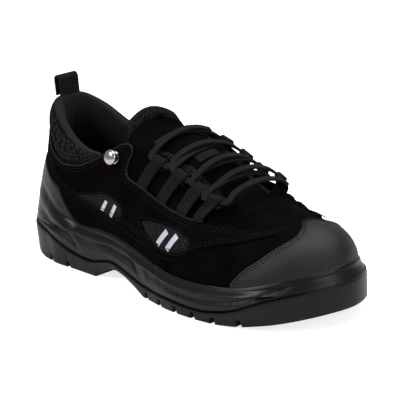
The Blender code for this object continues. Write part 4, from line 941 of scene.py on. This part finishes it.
# Loops, keeper and pull loop: ribbed webbing, woven with cords across it.
webbing = finish_of("ribbed_webbing", (0.0080, 0.0076, 0.0066), 0.75, sheen=0.005, gloss=0.08)
WEBBING_WALL = 0.0013
WEBBING_WIDTH = 0.0080
WEBBING_LIFT = 0.0008
RIB_PITCH = 0.00140
RIB_DEPTH = 0.00032
rib_place = add_node(webbing, "ShaderNodeUVMap", uv_map="pattern")
rib_parts = add_node(webbing, "ShaderNodeSeparateXYZ")
rib_turn = add_node(webbing, "ShaderNodeMath", operation="MULTIPLY")
rib_turn.inputs[1].default_value = 2 * math.pi / RIB_PITCH
rib_wave = add_node(webbing, "ShaderNodeMath", operation="COSINE")
rib_shade_wave = add_node(webbing, "ShaderNodeMath", operation="MULTIPLY_ADD")
rib_shade_wave.inputs[1].default_value = -0.5
rib_shade_wave.inputs[2].default_value = 0.5
webbing.node_tree.links.new(rib_place.outputs["UV"], rib_parts.inputs[0])
webbing.node_tree.links.new(rib_parts.outputs["X"], rib_turn.inputs[0])
webbing.node_tree.links.new(rib_turn.outputs[0], rib_wave.inputs[0])
webbing.node_tree.links.new(rib_wave.outputs[0], rib_shade_wave.inputs[0])
# Painted shade and painted highlight: the colour follows the ribs, darker in the troughs between them and
# lighter on their crests.
add_tones(webbing, rib_shade_wave.outputs[0], (0.0012, 0.0011, 0.0009), (0.0125, 0.0119, 0.0103), 0.15, 0.85)
add_relief(webbing, add_noise(webbing, 2600.0, 2.0), 0.4, 0.0003)


def ribbed_strap(name, middle, wide, normals, width, wall):
    """A strap along the middle points, wide and normal directions at each, with ribs across it."""
    lengths = lengths_along(middle)
    steps = np.arange(0.0, lengths[-1], RIB_PITCH / 5)
    middle, wide, normals = (smooth_line(lengths, part, steps) for part in (middle, wide, normals))
    wide = unit(wide)
    normals = unit(normals)
    rib = RIB_DEPTH * (0.5 - 0.5 * np.cos(2 * math.pi * steps / RIB_PITCH)) ** 0.7
    half = wall / 2 - RIB_DEPTH
    outline = [(-1.0, -0.35), (-0.97, -0.9), (-0.88, -1.0), (-0.3, -1.0), (0.3, -1.0), (0.88, -1.0),
               (0.97, -0.9), (1.0, -0.35), (1.0, 0.35), (0.97, 0.9), (0.88, 1.0), (0.3, 1.0), (-0.3, 1.0),
               (-0.88, 1.0), (-0.97, 0.9), (-1.0, 0.35)]
    rings = np.stack([middle + wide * (x * width / 2) + normals * (z * (half + rib))[:, None]
                      for x, z in outline], 1)
    count = len(outline)
    faces = grid_faces(len(steps), count, along=True)
    faces += [tuple(range(count)), tuple(range((len(steps) - 1) * count, len(steps) * count))]
    strap_flat = np.stack([np.repeat(steps[:, None], count, 1),
                           np.repeat(np.linspace(0, width * 2, count)[None], len(steps), 0)], -1)
    made = new_object(name, rings.reshape(-1, 3), faces, [webbing], strap_flat.reshape(-1, 2))
    face_outwards(made)
    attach(made, "root")
    return made


# The loops: around at the quarter's edge, around and up at the eye, more lift over a round corner
LOOP_ROWS = ((0.483, 0.530, 0.93, 0.0), (0.550, 0.588, 0.92, 0.0), (0.610, 0.634, 0.92, 0.0003),
             (0.660, 0.682, 0.92, 0.0014))


def loop_frame(side, row, edge):
    _, eye, level, more = LOOP_ROWS[row]
    lift = WEBBING_LIFT + WEBBING_WALL / 2 + more
    origin = surface(side * eye, level, lift)
    normal = surface(side * eye, level, 0.002) - surface(side * eye, level, 0.0)
    normal /= np.linalg.norm(normal)
    toeward = surface(side * (eye + 0.012), level, lift) - surface(side * (eye - 0.012), level, lift)
    toeward -= normal * np.dot(toeward, normal)
    toeward /= np.linalg.norm(toeward)
    along = np.cross(toeward, normal)
    along *= np.sign(np.dot(along, origin - surface(side * eye, level - 0.06, lift)))
    return origin + toeward * edge * WEBBING_WIDTH / 2, along, normal


LOOP_WIDTH = 0.0098
EYE_HEIGHT = 0.0024
EYE_ALONG = 0.0030
EYE_THICK = 0.0021
quarter_front = np.array([point for point in QUARTER_TOP if point[0] >= 0.44 and point[1] <= 0.67])
for side, side_name in ((-1, "lateral"), (1, "medial")):
    for row, (base, eye, level, more) in enumerate(LOOP_ROWS):
        tracks, normals = [], []
        for edge in (-1, 1):
            shift = edge * LOOP_WIDTH / 2 / AROUND_METRES
            start = np.interp(base + shift, quarter_front[:, 0], quarter_front[:, 1]) - 0.012
            track = []
            for share, rise in ((0.0, 0.0006), (0.12, 0.0021), (0.40, 0.0026), (0.70, 0.0040)):
                around = side * (base + (eye - base) * share + shift)
                up = start + (level - start) * share
                normal = surface(around, up, 0.002) - surface(around, up, 0.0)
                track.append((surface(around, up, rise + more), normal / np.linalg.norm(normal)))
            origin, along, normal = loop_frame(side, row, edge * LOOP_WIDTH / WEBBING_WIDTH)
            centre = origin + normal * EYE_HEIGHT
            for degrees in (90, 60, 30, 0, -30, -60, -90):
                turn = math.radians(degrees)
                track.append((centre + along * math.cos(turn) * EYE_ALONG + normal * math.sin(turn) * EYE_THICK,
                              along * math.cos(turn) + normal * math.sin(turn)))
            for reach in (0.003, 0.0055):
                track.append((centre - along * reach - normal * (EYE_THICK + reach * 0.05), -normal))
            tracks.append(np.array([point for point, _ in track]))
            normals.append(np.array([n for _, n in track]))
        strap = ribbed_strap("loop_strap_%s_%d" % (side_name, row + 1), (tracks[0] + tracks[1]) / 2,
                             tracks[1] - tracks[0], normals[0] + normals[1], LOOP_WIDTH, WEBBING_WALL)
        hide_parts("lace_loop_%s_%d" % (side_name, row + 1))

PULL_WIDTH, PULL_WALL, PULL_HEIGHT, PULL_GAP, PULL_LEAN = 0.018, 0.0018, 0.0145, 0.0032, -0.05
pull_half = PULL_GAP / 2 + PULL_WALL / 2
pull_foot = surface(0.0, 1.0, -PAD_THICKNESS * 0.5) + np.array([0.0, 0.0, PAD_ROLL - 0.0005])
pull_path = [(-pull_half, 0.0), (-pull_half, PULL_HEIGHT * 0.5)]
pull_path += [(pull_half * math.cos(math.radians(degrees)),
               PULL_HEIGHT - pull_half + pull_half * math.sin(math.radians(degrees)))
              for degrees in (180, 150, 120, 90, 60, 30, 0)]
pull_path += [(pull_half, PULL_HEIGHT * 0.5), (pull_half, 0.0)]
pull_middle = np.array([pull_foot + np.array([x + z * PULL_LEAN, 0.0, z]) for x, z in pull_path])
pull_ahead = np.gradient(pull_middle, axis=0)
pull_out = np.stack([-pull_ahead[:, 2], 0 * pull_ahead[:, 1], pull_ahead[:, 0]], -1)
pull_loop = ribbed_strap("pull_strap", pull_middle, np.tile((0.0, 1.0, 0.0), (len(pull_middle), 1)), pull_out,
                         PULL_WIDTH, PULL_WALL)
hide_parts("pull_loop")

KEEPER_PLACES = (0.573, 0.591)
keeper_edges = [np.array(tongue_section(place, 0.0, 1.0)[2:8]) for place in KEEPER_PLACES]
keeper_middle, keeper_wide, keeper_out = [], [], []
for share in np.linspace(0.25, 0.63, 9):
    low, high = (line_at(share * 5, range(6), edge) for edge in keeper_edges)
    near = line_at(share * 5 + 0.3, range(6), keeper_edges[0])
    normal = np.cross(high - low, near - low)
    normal /= np.linalg.norm(normal) * np.sign(normal[2])
    keeper_middle.append((low + high) / 2 + normal * (0.0006 + WEBBING_WALL / 2))
    keeper_wide.append(high - low)
    keeper_out.append(normal)
keeper = ribbed_strap("keeper_strap", np.array(keeper_middle), np.array(keeper_wide), np.array(keeper_out),
                      float(np.linalg.norm(keeper_wide[4])), WEBBING_WALL)
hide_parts("tongue_lace_keeper")

# The folded tab, sewn in where the tongue's roll meets its suede, from which it stands off
TAB_WIDTH, TAB_WALL, TAB_HEIGHT = 0.0070, 0.0012, 0.0050
tab_row = int(np.searchsorted(along_metres[:, TONGUE_WIDE // 2], 0.0075))
tab_column = int(TONGUE_WIDE * 0.56)
tab_up = tongue_out[tab_row, tab_column]
tab_wide = tongue_base[tab_row, tab_column + 4] - tongue_base[tab_row, tab_column - 4]
tab_wide /= np.linalg.norm(tab_wide)
tab_ahead = np.cross(tab_wide, tab_up)
tab_half = TAB_WALL * 0.55
tab_path = [(-tab_half, -0.0008), (-tab_half, TAB_HEIGHT * 0.6)]
tab_path += [(tab_half * math.cos(math.radians(d)), TAB_HEIGHT * 0.8 + tab_half * math.sin(math.radians(d)))
             for d in (150, 90, 30)]
tab_path += [(tab_half, TAB_HEIGHT * 0.6), (tab_half, -0.0008)]
tab_middle = np.array([tongue_top[tab_row, tab_column] + tab_ahead * x + tab_up * z for x, z in tab_path])
tab_run = np.gradient(tab_middle, axis=0)
ribbed_strap("tongue_tab", tab_middle, np.tile(tab_wide, (len(tab_path), 1)), np.cross(tab_run, tab_wide),
             TAB_WIDTH, TAB_WALL)

# Lace: a flat braided cord with two ridges. It runs through the loops in a zigzag, across the lowest pair and
# back up, and both ends go under the top pair.
lace_braid = finish_of("lace_braid", (0.0090, 0.0086, 0.0072), 0.78, sheen=0.02, gloss=0.10)
LACE_RADIUS = 0.0015
LACE_STRAIGHT = 0.0042
LACE_CROWN = 0.145
LACE_WIDE, LACE_THICK = 0.0021, 0.0010
LACE_STEP = 0.0007
INSTEP_SLOPE = math.radians(30)
INSTEP_MIDDLE = 0.0045
INSTEP_DEPTH = 0.034


def loop_eye(side, row, edge):
    origin, _, normal = loop_frame(side, row, edge)
    return origin + normal * EYE_HEIGHT


lace_stops = [(-1 if row % 2 == 0 else 1, row, -1) for row in range(4)]
lace_stops += [(-side, row, 1) for side, row, _ in reversed(lace_stops)]
lace_route = []
for number, (side, row, first_edge) in enumerate(lace_stops):
    enter, leave = loop_eye(side, row, first_edge), loop_eye(side, row, -first_edge)
    along = (leave - enter) / np.linalg.norm(leave - enter)
    inner = [enter, (enter + leave) / 2, leave]
    enter, leave = enter - along * LACE_STRAIGHT, leave + along * LACE_STRAIGHT
    if lace_route:
        start, way = lace_route[-1], enter - lace_route[-1]
        over = LACE_RADIUS * 1.25 * (1 if number <= 3 else -1) if number != 4 else 0.0
        for share in (0.14, 0.32, 0.5, 0.68, 0.86):
            bulge = abs(way[1]) * LACE_CROWN * (4 * share * (1 - share)) ** 0.8
            bulge += over * math.sin(math.pi * share)
            lace_route.append(start + way * share + np.array([0.0, 0.0, bulge]))
    lace_route += [enter] + inner + [leave]
for end in (0, -1):
    side = lace_stops[end][0]
    start, far = lace_route[end], loop_eye(-side, 0, -1)
    far = far + (far - loop_eye(-side, 0, 1)) * 0.6 * (1.0 if end == 0 else 1.5) + (0.0, 0.0, LACE_RADIUS)
    run = []
    for share in (0.14, 0.3, 0.5, 0.7, 0.88):
        bulge = abs(far[1] - start[1]) * LACE_CROWN * (4 * share * (1 - share)) ** 0.8
        over = LACE_RADIUS * (1.6 if end == 0 else 0.1) * math.sin(math.pi * share)
        run.append(start + (far - start) * share + np.array([0.0, 0.0, bulge + over]))
    lace_route = run[::-1] + lace_route if end == 0 else lace_route + run
lace_route = np.array(lace_route)
lace_knots = np.concatenate([[0.0], np.cumsum(np.linalg.norm(np.diff(lace_route, axis=0), axis=1) ** 0.5)])
lace_fine = smooth_line(lace_knots, lace_route, np.linspace(0, lace_knots[-1], 4000))
lace_lengths = lengths_along(lace_fine)
lace_steps = np.arange(0.0, lace_lengths[-1], LACE_STEP)
lace_line = line_at(lace_steps, lace_lengths, lace_fine)
lace_ahead = np.gradient(lace_line, axis=0)
lace_ahead = unit(lace_ahead)
below_line = lace_line - np.array([math.sin(INSTEP_SLOPE), 0.0, math.cos(INSTEP_SLOPE)]) * INSTEP_DEPTH
below_line[:, 1] = INSTEP_MIDDLE
lace_out = lace_line - below_line
lace_out -= lace_ahead * np.sum(lace_out * lace_ahead, axis=1, keepdims=True)
lace_out = unit(lace_out)
lace_across = np.cross(lace_ahead, lace_out)
LACE_SECTION = [(1.0, 0.0), (0.93, 0.62), (0.72, 0.98), (0.48, 1.0), (0.22, 0.80), (0.0, 0.66), (-0.22, 0.80),
                (-0.48, 1.0), (-0.72, 0.98), (-0.93, 0.62), (-1.0, 0.0), (-0.93, -0.62), (-0.72, -0.98),
                (-0.48, -1.0), (-0.22, -0.80), (0.0, -0.66), (0.22, -0.80), (0.48, -1.0), (0.72, -0.98),
                (0.93, -0.62)]
lace_rings = np.stack([lace_line + lace_across * x * LACE_WIDE + lace_out * z * LACE_THICK
                       for x, z in LACE_SECTION], 1)
lace_count = len(LACE_SECTION)
lace_faces = grid_faces(len(lace_line), lace_count, along=True)
lace_faces += [tuple(range(lace_count)),
               tuple(range((len(lace_line) - 1) * lace_count, len(lace_line) * lace_count))]
lace_aside = np.array([x for x, _ in LACE_SECTION]) * LACE_WIDE
lace_flat = np.stack([np.repeat(lace_steps[:, None], lace_count, 1),
                      np.repeat(lace_aside[None], len(lace_line), 0)], -1)
lace = new_object("lace_cord", lace_rings.reshape(-1, 3), lace_faces, [lace_braid], lace_flat.reshape(-1, 2))
face_outwards(lace)
BRAID_PITCH = 0.0011
# Painted highlight and painted shade: the braid's raised points are painted lighter and its low points darker,
# in step with its bump.
add_tones(lace_braid, add_print(lace_braid, BRAID_PITCH), (0.0050, 0.0047, 0.0040), (0.0135, 0.0128, 0.0110),
          0.2, 0.8)
add_relief(lace_braid, add_print(lace_braid, BRAID_PITCH), 0.6, 0.0003)
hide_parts("lace")
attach(lace, "root")

# Studs: pressed and polished nickel, a domed head on a neck and base plate, riveted at each quarter's top
# corner.
nickel = finish_of("polished_nickel", (0.56, 0.51, 0.49), 0.19)
nickel.node_tree.nodes["Principled BSDF"].inputs["Metallic"].default_value = 1.0
add_relief(nickel, add_noise(nickel, 260.0, 1.0), 0.02, 0.0002)
STUD_RADIUS = 0.0054
STUD_PLACE = (0.382, 0.90)
STUD_PROFILE = ((0.0, 0.0), (0.80, 0.0), (0.86, 0.04), (0.86, 0.12), (0.80, 0.16), (0.46, 0.20), (0.42, 0.26),
                (0.42, 0.50), (0.48, 0.57), (0.90, 0.60), (0.98, 0.64), (1.0, 0.72), (0.99, 0.84), (0.93, 0.95),
                (0.80, 1.06), (0.62, 1.15), (0.40, 1.21), (0.20, 1.235), (0.0, 1.24))
STUD_SIDES = 48
for side, side_name in ((-1, "lateral"), (1, "medial")):
    seat = surface(side * STUD_PLACE[0], STUD_PLACE[1], 0.0022)
    normal = surface(side * STUD_PLACE[0], STUD_PLACE[1], 0.0032) - seat
    turn = Vector(normal).to_track_quat("Z", "Y").to_matrix()
    stud_points, stud_faces = [], []
    for share, height in STUD_PROFILE:
        for k in range(STUD_SIDES):
            angle = 2 * math.pi * k / STUD_SIDES
            stud_points.append(Vector(seat) + turn @ Vector((share * STUD_RADIUS * math.cos(angle),
                                                             share * STUD_RADIUS * math.sin(angle),
                                                             height * STUD_RADIUS)))
    stud = new_object("stud_" + side_name, stud_points, grid_faces(len(STUD_PROFILE), STUD_SIDES, along=True),
                      [nickel])
    shape = bmesh.new()
    shape.from_mesh(stud.data)
    bmesh.ops.remove_doubles(shape, verts=shape.verts, dist=1e-6)
    shape.to_mesh(stud.data)
    shape.free()
    face_outwards(stud)
    stud.data.set_sharp_from_angle(angle=math.radians(50))
    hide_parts("lacing_stud_" + side_name)
    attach(stud, "root")

# Sole: a moulded cup with a rolled rim round the toes and a wrap behind the heel, and a tread of cut blocks
# under it. Both are cast in dark grey rubber with a satin skin.
sole_rubber = finish_of("sole_rubber", (0.0040, 0.0037, 0.0034), 0.33, gloss=0.22)
add_tones(sole_rubber, add_noise(sole_rubber, 55.0, 4.0), (0.0034, 0.0031, 0.0028), (0.0050, 0.0047, 0.0043),
          0.3, 0.7)
sole_grain = add_relief(sole_rubber, add_noise(sole_rubber, 900.0, 3.0), 0.10, 0.0003)
add_relief(sole_rubber, add_noise(sole_rubber, 120.0, 2.0), 0.05, 0.0010, after=sole_grain)
SOLE_OVERHANG, RIM_WALL, HEEL_FLARE, FLARE_SPAN = 0.0065, 0.0026, 0.0035, 0.14
SPLIT_HEIGHT, ARCH_RISE, TOE_SPRING, FLOOR_DROP = 0.018, 0.0105, 0.010, 0.0012
GROOVE_WIDTH, GROOVE_DEPTH, EDGE_STEP, SEAM_STEP = 0.0045, 0.0045, 0.0020, 0.0012
SPLIT_LINE = ((-0.03, 1.62), (0.0, 1.55), (0.10, 1.22), (0.20, 0.70), (0.27, 0.58), (0.38, 0.84), (0.43, 0.68),
              (0.505, 0.46), (0.62, 0.42), (0.75, 0.43), (0.82, 0.68), (0.88, 1.10), (0.97, 1.55), (1.03, 1.70))
TREAD_LINE = ((-0.03, 0.75, 0.0), (0.0, 0.45, 0.0), (0.04, 0.12, 0.0), (0.07, 0.0, 0.0), (0.295, 0.0, 0.0),
              (0.305, 0.2, 0.0), (0.33, 0.55, 0.0), (0.36, 0.93, 0.0), (0.39, 1.0, 0.0), (0.43, 0.8, 0.0),
              (0.47, 0.4, 0.0), (0.505, 0.0, 0.0), (0.78, 0.0, 0.0), (0.85, 0.0, 0.18), (0.92, 0.0, 0.5),
              (0.98, 0.0, 0.85), (1.03, 0.0, 1.15))
TREAD_STATIONS = (0.295, 0.308, 0.505)
GROOVES = (0.115, 0.185, 0.53, 0.59, 0.65, 0.71, 0.77, 0.84)
outer_dense, outer_share = outlines[-1]
stations = {}
for along in TREAD_STATIONS:
    stations[float(np.interp(along * LAST_LENGTH, outer_dense[:, 0], outer_share))] = 0.0
for along in GROOVES:
    for step, cut in ((-1.0, 0.0), (-0.55, 1.0), (0.0, 1.0), (0.55, 1.0), (1.0, 0.0)):
        x = along * LAST_LENGTH + step * GROOVE_WIDTH / 2
        stations[float(np.interp(x, outer_dense[:, 0], outer_share))] = cut * GROOVE_DEPTH
fixed = np.array(sorted(stations))
for around in np.linspace(0.0, 1.0, 240):
    if np.abs(fixed - around).min() > 0.0025:
        stations[float(around)] = 0.0
half_stations = sorted(stations)
half_stations[0], half_stations[-1] = 0.0, 1.0
groove_depths = np.array([stations.get(w, 0.0) for w in half_stations])
sole_around = np.array([-w for w in reversed(half_stations[1:])] + half_stations)
sole_depth = np.concatenate([groove_depths[:0:-1], groove_depths])


def sole_point(outward, height):
    edge, out = feather_edge(sole_around)
    return np.concatenate([edge + out * np.asarray(outward)[..., None], np.broadcast_to(
        np.asarray(height), sole_around.shape)[..., None]], -1) + FORM_CENTRE


def soft_line(line, at):
    return np.interp(at, *zip(*line))


sole_x = feather_edge(sole_around)[0][:, 0]
mean_x = (sole_x + sole_x[::-1]) / 2
split = SPLIT_HEIGHT * read_line(SPLIT_LINE, mean_x / LAST_LENGTH)
flare = HEEL_FLARE * np.maximum(0.0, 1 - (np.abs(sole_around) / FLARE_SPAN) ** 2)
seat = seat_height(sole_x)
rim = read_line(RIM_LINE, np.abs(sole_around))
rise_up = np.array([0.0, 0.0, 1.0])


def on_upper(up, lift, rise=0.0):
    return surface(sole_around, up, lift) + rise_up * rise


span = seat - split
SOLE_RISE = 64
sole_knots = np.array([on_upper(rim, 0.0002), on_upper(rim, RIM_WALL * 0.60, RIM_WALL * 0.35),
                       on_upper(rim, RIM_WALL * 1.05, -RIM_WALL * 0.30),
                       surface(sole_around, rim * 0.6, RIM_WALL * 1.2 + flare * 0.3),
                       sole_point(SOLE_OVERHANG * 0.93 + flare * 0.8, seat - span * 0.04),
                       sole_point(SOLE_OVERHANG * 0.74 + flare * 0.8, seat - span * 0.16),
                       sole_point(SOLE_OVERHANG * 0.95 + flare, split + span * 0.45),
                       sole_point(SOLE_OVERHANG * 0.92 + flare, split + span * 0.12 + 0.0012)])
sole_at = np.linspace(0, len(sole_knots) - 1, SOLE_RISE)
sole_side = np.array([smooth_through(np.arange(len(sole_knots)), sole_knots[:, c, k], sole_at)
                      for c in range(len(sole_around)) for k in range(3)])
sole_side = sole_side.reshape(len(sole_around), 3, SOLE_RISE).transpose(0, 2, 1)
seam_in = sole_point(SOLE_OVERHANG * 0.84 + flare, split + 0.0002)
floor_edge = on_upper(0.0 * rim, 0.0002)
floor_edge[:, 2] = seat - FLOOR_DROP
# Grooves and ridges of the sidewall: depth (minus is a ridge), half width, then (around, height) of its points
SIDE_LINES = (
    (0.0011, 0.0016, ((0.090, 0.0570), (0.150, 0.0480), (0.200, 0.0395), (0.250, 0.0343), (0.285, 0.0320))),
    (-0.0009, 0.0028, ((0.070, 0.0500), (0.130, 0.0420), (0.180, 0.0345), (0.225, 0.0280), (0.262, 0.0215))),
    (0.0012, 0.0015, ((0.090, 0.0390), (0.130, 0.0355), (0.160, 0.0312), (0.200, 0.0265), (0.235, 0.0220),
                      (0.262, 0.0155))),
    (-0.0007, 0.0022, ((0.100, 0.0300), (0.150, 0.0262), (0.200, 0.0240), (0.245, 0.0180))),
    (0.0010, 0.0013, ((0.323, 0.0265), (0.355, 0.0268), (0.415, 0.0260), (0.455, 0.0227), (0.480, 0.0152),
                      (0.497, 0.0080))),
    (-0.0007, 0.0026, ((0.340, 0.0310), (0.415, 0.0305), (0.465, 0.0268), (0.500, 0.0200), (0.520, 0.0120))),
    (0.0006, 0.0016, ((0.397, 0.0345), (0.460, 0.0340), (0.518, 0.0280), (0.568, 0.0173))),
    (0.0009, 0.0018, ((0.600, 0.0150), (0.695, 0.0150), (0.772, 0.0185), (0.833, 0.0248), (0.875, 0.0300),
                      (0.905, 0.0372))),
)
HEEL_RIBS = (0.0440, 0.0505, 0.0565)
TRACE_STEPS = 60
out_way = np.cross(np.gradient(sole_side, axis=1), np.gradient(sole_side, axis=0))
out_way /= np.maximum(np.linalg.norm(out_way, axis=2, keepdims=True), 1e-12)
away = sole_side - sole_side.mean(axis=(0, 1))
out_way *= np.sign(np.sum(out_way * away, axis=2, keepdims=True).mean())
side_place = np.stack([np.repeat(np.abs(sole_around)[:, None], SOLE_RISE, 1) * AROUND_METRES,
                       sole_side[..., 2]], -1)
shape_depth = np.zeros(side_place.shape[:2])
for depth, half, line in SIDE_LINES:
    knots = np.array(line) * (AROUND_METRES, 1.0)
    steps = lengths_along(knots)
    trace = smooth_line(steps, knots, np.linspace(0, steps[-1], TRACE_STEPS))
    gaps = np.linalg.norm(side_place[:, :, None] - trace[None, None], axis=3)
    nearest = gaps.argmin(2)
    fade = np.sin(math.pi * np.clip(np.linspace(0, 1, TRACE_STEPS), 0.02, 0.98)) ** 0.5
    shape_depth += depth * fade[nearest] * np.exp(-(gaps.min(2) / half) ** 2)
for height in HEEL_RIBS:
    reach = np.exp(-(side_place[..., 0] / 0.016) ** 4)
    shape_depth -= 0.0010 * reach * np.exp(-((side_place[..., 1] - height) / 0.0016) ** 2)
row_number = np.arange(SOLE_RISE)
row_fade = np.clip((row_number - 1) / 4, 0, 1) * np.clip((SOLE_RISE - 1 - row_number) / 3, 0, 1)
sole_side = sole_side - out_way * (shape_depth * row_fade)[..., None]
inner_wall = [floor_edge] + [on_upper(rim * share, 0.0002) for share in (0.33, 0.66)]
midsole_rows = np.stack(inner_wall + [sole_side[:, k] for k in range(SOLE_RISE)] + [seam_in], 1)


def across_faces(columns, rows, at):
    middle = columns // 2
    pairs = [(middle - k, middle + k) for k in range(middle + 1)]
    faces = []
    for (a, b), (c, d) in zip(pairs[:-1], pairs[1:]):
        corners = [(k % (columns - 1)) * rows + at for k in (a, b, d, c)]
        faces.append(tuple(dict.fromkeys(corners)))
    return faces


count, rows = midsole_rows.shape[:2]
faces = grid_faces(count - 1, rows, around=True)
faces += across_faces(count, rows, 0) + across_faces(count, rows, rows - 1)
midsole = new_object("midsole_cup", midsole_rows[:-1].reshape(-1, 3), faces, [sole_rubber])
face_outwards(midsole)
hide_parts("midsole")
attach(midsole, "root")

tread_x = sole_point(SOLE_OVERHANG, 0.0)[:, 0] - FORM_CENTRE[0]


def tread_height(x):
    share = x / LAST_LENGTH
    places = [row[0] for row in TREAD_LINE]
    lift, spring = (np.interp(share, places, [row[k] for row in TREAD_LINE]) for k in (1, 2))
    return ARCH_RISE * lift + TOE_SPRING * spring


bottom = tread_height(tread_x) + sole_depth
edge = np.minimum(EDGE_STEP, (split - bottom) * 0.35)
tread_rows = [sole_point(SOLE_OVERHANG * 0.4, split - SEAM_STEP),
              sole_point(SOLE_OVERHANG * 0.84 + flare, split - 0.0001),
              sole_point(SOLE_OVERHANG * 0.95 + flare, split - 0.0004),
              sole_point(SOLE_OVERHANG + flare * 1.2, split - edge * 0.7),
              sole_point(SOLE_OVERHANG * 1.01 + flare * 1.3, split - edge * 1.2),
              sole_point(SOLE_OVERHANG * 0.97 + flare, bottom + edge),
              sole_point(SOLE_OVERHANG * 0.94 + flare, bottom + edge * 0.45),
              sole_point(SOLE_OVERHANG * 0.86 + flare, bottom + edge * 0.08),
              sole_point(SOLE_OVERHANG * 0.80 + flare, bottom)]
tread = np.stack(tread_rows, 1)
count, rows = tread.shape[:2]
points = list(tread[:-1].reshape(-1, 3))
faces = grid_faces(count - 1, rows, around=True) + across_faces(count, rows, 0)
middle = count // 2
ACROSS = (0.06, 0.14, 0.22, 0.30, 0.38, 0.42, 0.45, 0.52, 0.55, 0.62, 0.70, 0.78, 0.86, 0.94)
DEPTHS = (0.0, 0.0, 0.0, 0.0, 0.0, 0.0, 1.0, 1.0, 0.0, 0.0, 0.0, 0.0, 0.0, 0.0)
bottom_first = len(points)
for k in range(1, middle):
    outer, inner = tread[middle - k][-1], tread[middle + k][-1]
    sway = 0.05 * math.tanh(3 * math.sin(2 * math.pi * k / (middle / 7)))
    roof = split[middle + k] - SEAM_STEP - EDGE_STEP
    for share, depth in zip(ACROSS, DEPTHS):
        point = outer + (inner - outer) * (share + (sway if 0.35 < share < 0.65 else 0.0))
        cut = tread_height(point[0] - FORM_CENTRE[0]) + max(depth * GROOVE_DEPTH, sole_depth[middle + k])
        point[2] = min(cut, roof)
        points.append(point)
across = len(ACROSS)


def bottom_row(k):
    if k == 0:
        return [middle * rows + rows - 1]
    outer = ((middle - k) % (count - 1)) * rows + rows - 1
    inner = ((middle + k) % (count - 1)) * rows + rows - 1
    if k == middle:
        return [outer]
    return [outer] + [bottom_first + (k - 1) * across + j for j in range(across)] + [inner]


for k in range(middle):
    here, there = bottom_row(k), bottom_row(k + 1)
    if len(here) == 1:
        faces += [(here[0], there[j], there[j + 1]) for j in range(len(there) - 1)]
    elif len(there) == 1:
        faces += [(there[0], here[j], here[j + 1]) for j in range(len(here) - 1)]
    else:
        faces += [(here[j], here[j + 1], there[j + 1], there[j]) for j in range(len(here) - 1)]
outsole = new_object("outsole_tread", points, faces, [sole_rubber])
face_outwards(outsole)
outsole.data.set_sharp_from_angle(angle=math.radians(40))
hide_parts("outsole")
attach(outsole, "root")

# Insole: the loose footbed under the collar's opening, foam faced with woven cloth.
footbed_cloth = finish_of("footbed_cloth", (0.0060, 0.0058, 0.0055), 0.85, sheen=0.02, gloss=0.08)
add_relief(footbed_cloth, add_noise(footbed_cloth, 1400.0, 2.0), 0.4, 0.0003)
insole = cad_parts["insole"] if "insole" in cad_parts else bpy.data.objects["insole"]
insole.data.materials.clear()
insole.data.materials.append(footbed_cloth)

# Floor and light: a white light table that keeps only a faint shadow, and large soft lights over a dim room.
WHITE_SEEN = 1.0
ROOM_LIGHT = 0.30


def seen_by_camera(tree):
    """1 where the camera looks straight at the stage, 0 where the shoe sees it."""
    return tree.nodes.new("ShaderNodeLightPath").outputs["Is Camera Ray"]


floor_white = finish_of("floor_white", (0.75, 0.75, 0.75), 0.9, gloss=0.1)
floor_tree = floor_white.node_tree
floor_glow = add_node(floor_white, "ShaderNodeMath", operation="MULTIPLY")
floor_glow.inputs[1].default_value = 0.78
floor_tree.links.new(seen_by_camera(floor_tree), floor_glow.inputs[0])
floor_tree.links.new(floor_glow.outputs[0], floor_tree.nodes["Principled BSDF"].inputs["Emission Strength"])
floor_tree.nodes["Principled BSDF"].inputs["Emission Color"].default_value = (1.0, 1.0, 1.0, 1.0)
floor = new_object("studio_floor", [(-4.0, -4.0, 0.0), (4.0, -4.0, 0.0), (4.0, 4.0, 0.0), (-4.0, 4.0, 0.0)],
                   [(0, 1, 2, 3)], [floor_white])
world = bpy.data.worlds.new("studio_world")
world.use_nodes = True
world_tree = world.node_tree
world_light = world_tree.nodes.new("ShaderNodeMapRange")
world_light.inputs["To Min"].default_value = ROOM_LIGHT
world_light.inputs["To Max"].default_value = WHITE_SEEN
world_tree.links.new(seen_by_camera(world_tree), world_light.inputs["Value"])
world_tree.links.new(world_light.outputs["Result"], world_tree.nodes["Background"].inputs["Strength"])
world_tree.nodes["Background"].inputs["Color"].default_value = (1.0, 1.0, 1.0, 1.0)
bpy.context.scene.world = world
bpy.context.scene.view_settings.view_transform = "Standard"
bpy.context.scene.view_settings.look = "None"
LIGHT_AIM = (0.0, 0.0, 0.05)
for name, place, size, power in (("key_light", (-0.30, -1.00, 0.95), 0.55, 9.5),
                                 ("top_light", (0.15, 0.25, 1.10), 0.8, 11.5),
                                 ("front_light", (1.10, -0.10, 0.50), 0.5, 3.0)):
    light_data = bpy.data.lights.new(name, "AREA")
    light_data.shape = "RECTANGLE"
    light_data.size, light_data.size_y = size, size
    light_data.energy = power
    light = bpy.data.objects.new(name, light_data)
    light.matrix_world = Matrix.Translation(place) @ (Vector(LIGHT_AIM) - Vector(place)).to_track_quat(
        "-Z", "Y").to_matrix().to_4x4()
    bpy.context.scene.collection.objects.link(light)

bpy.context.view_layer.update()
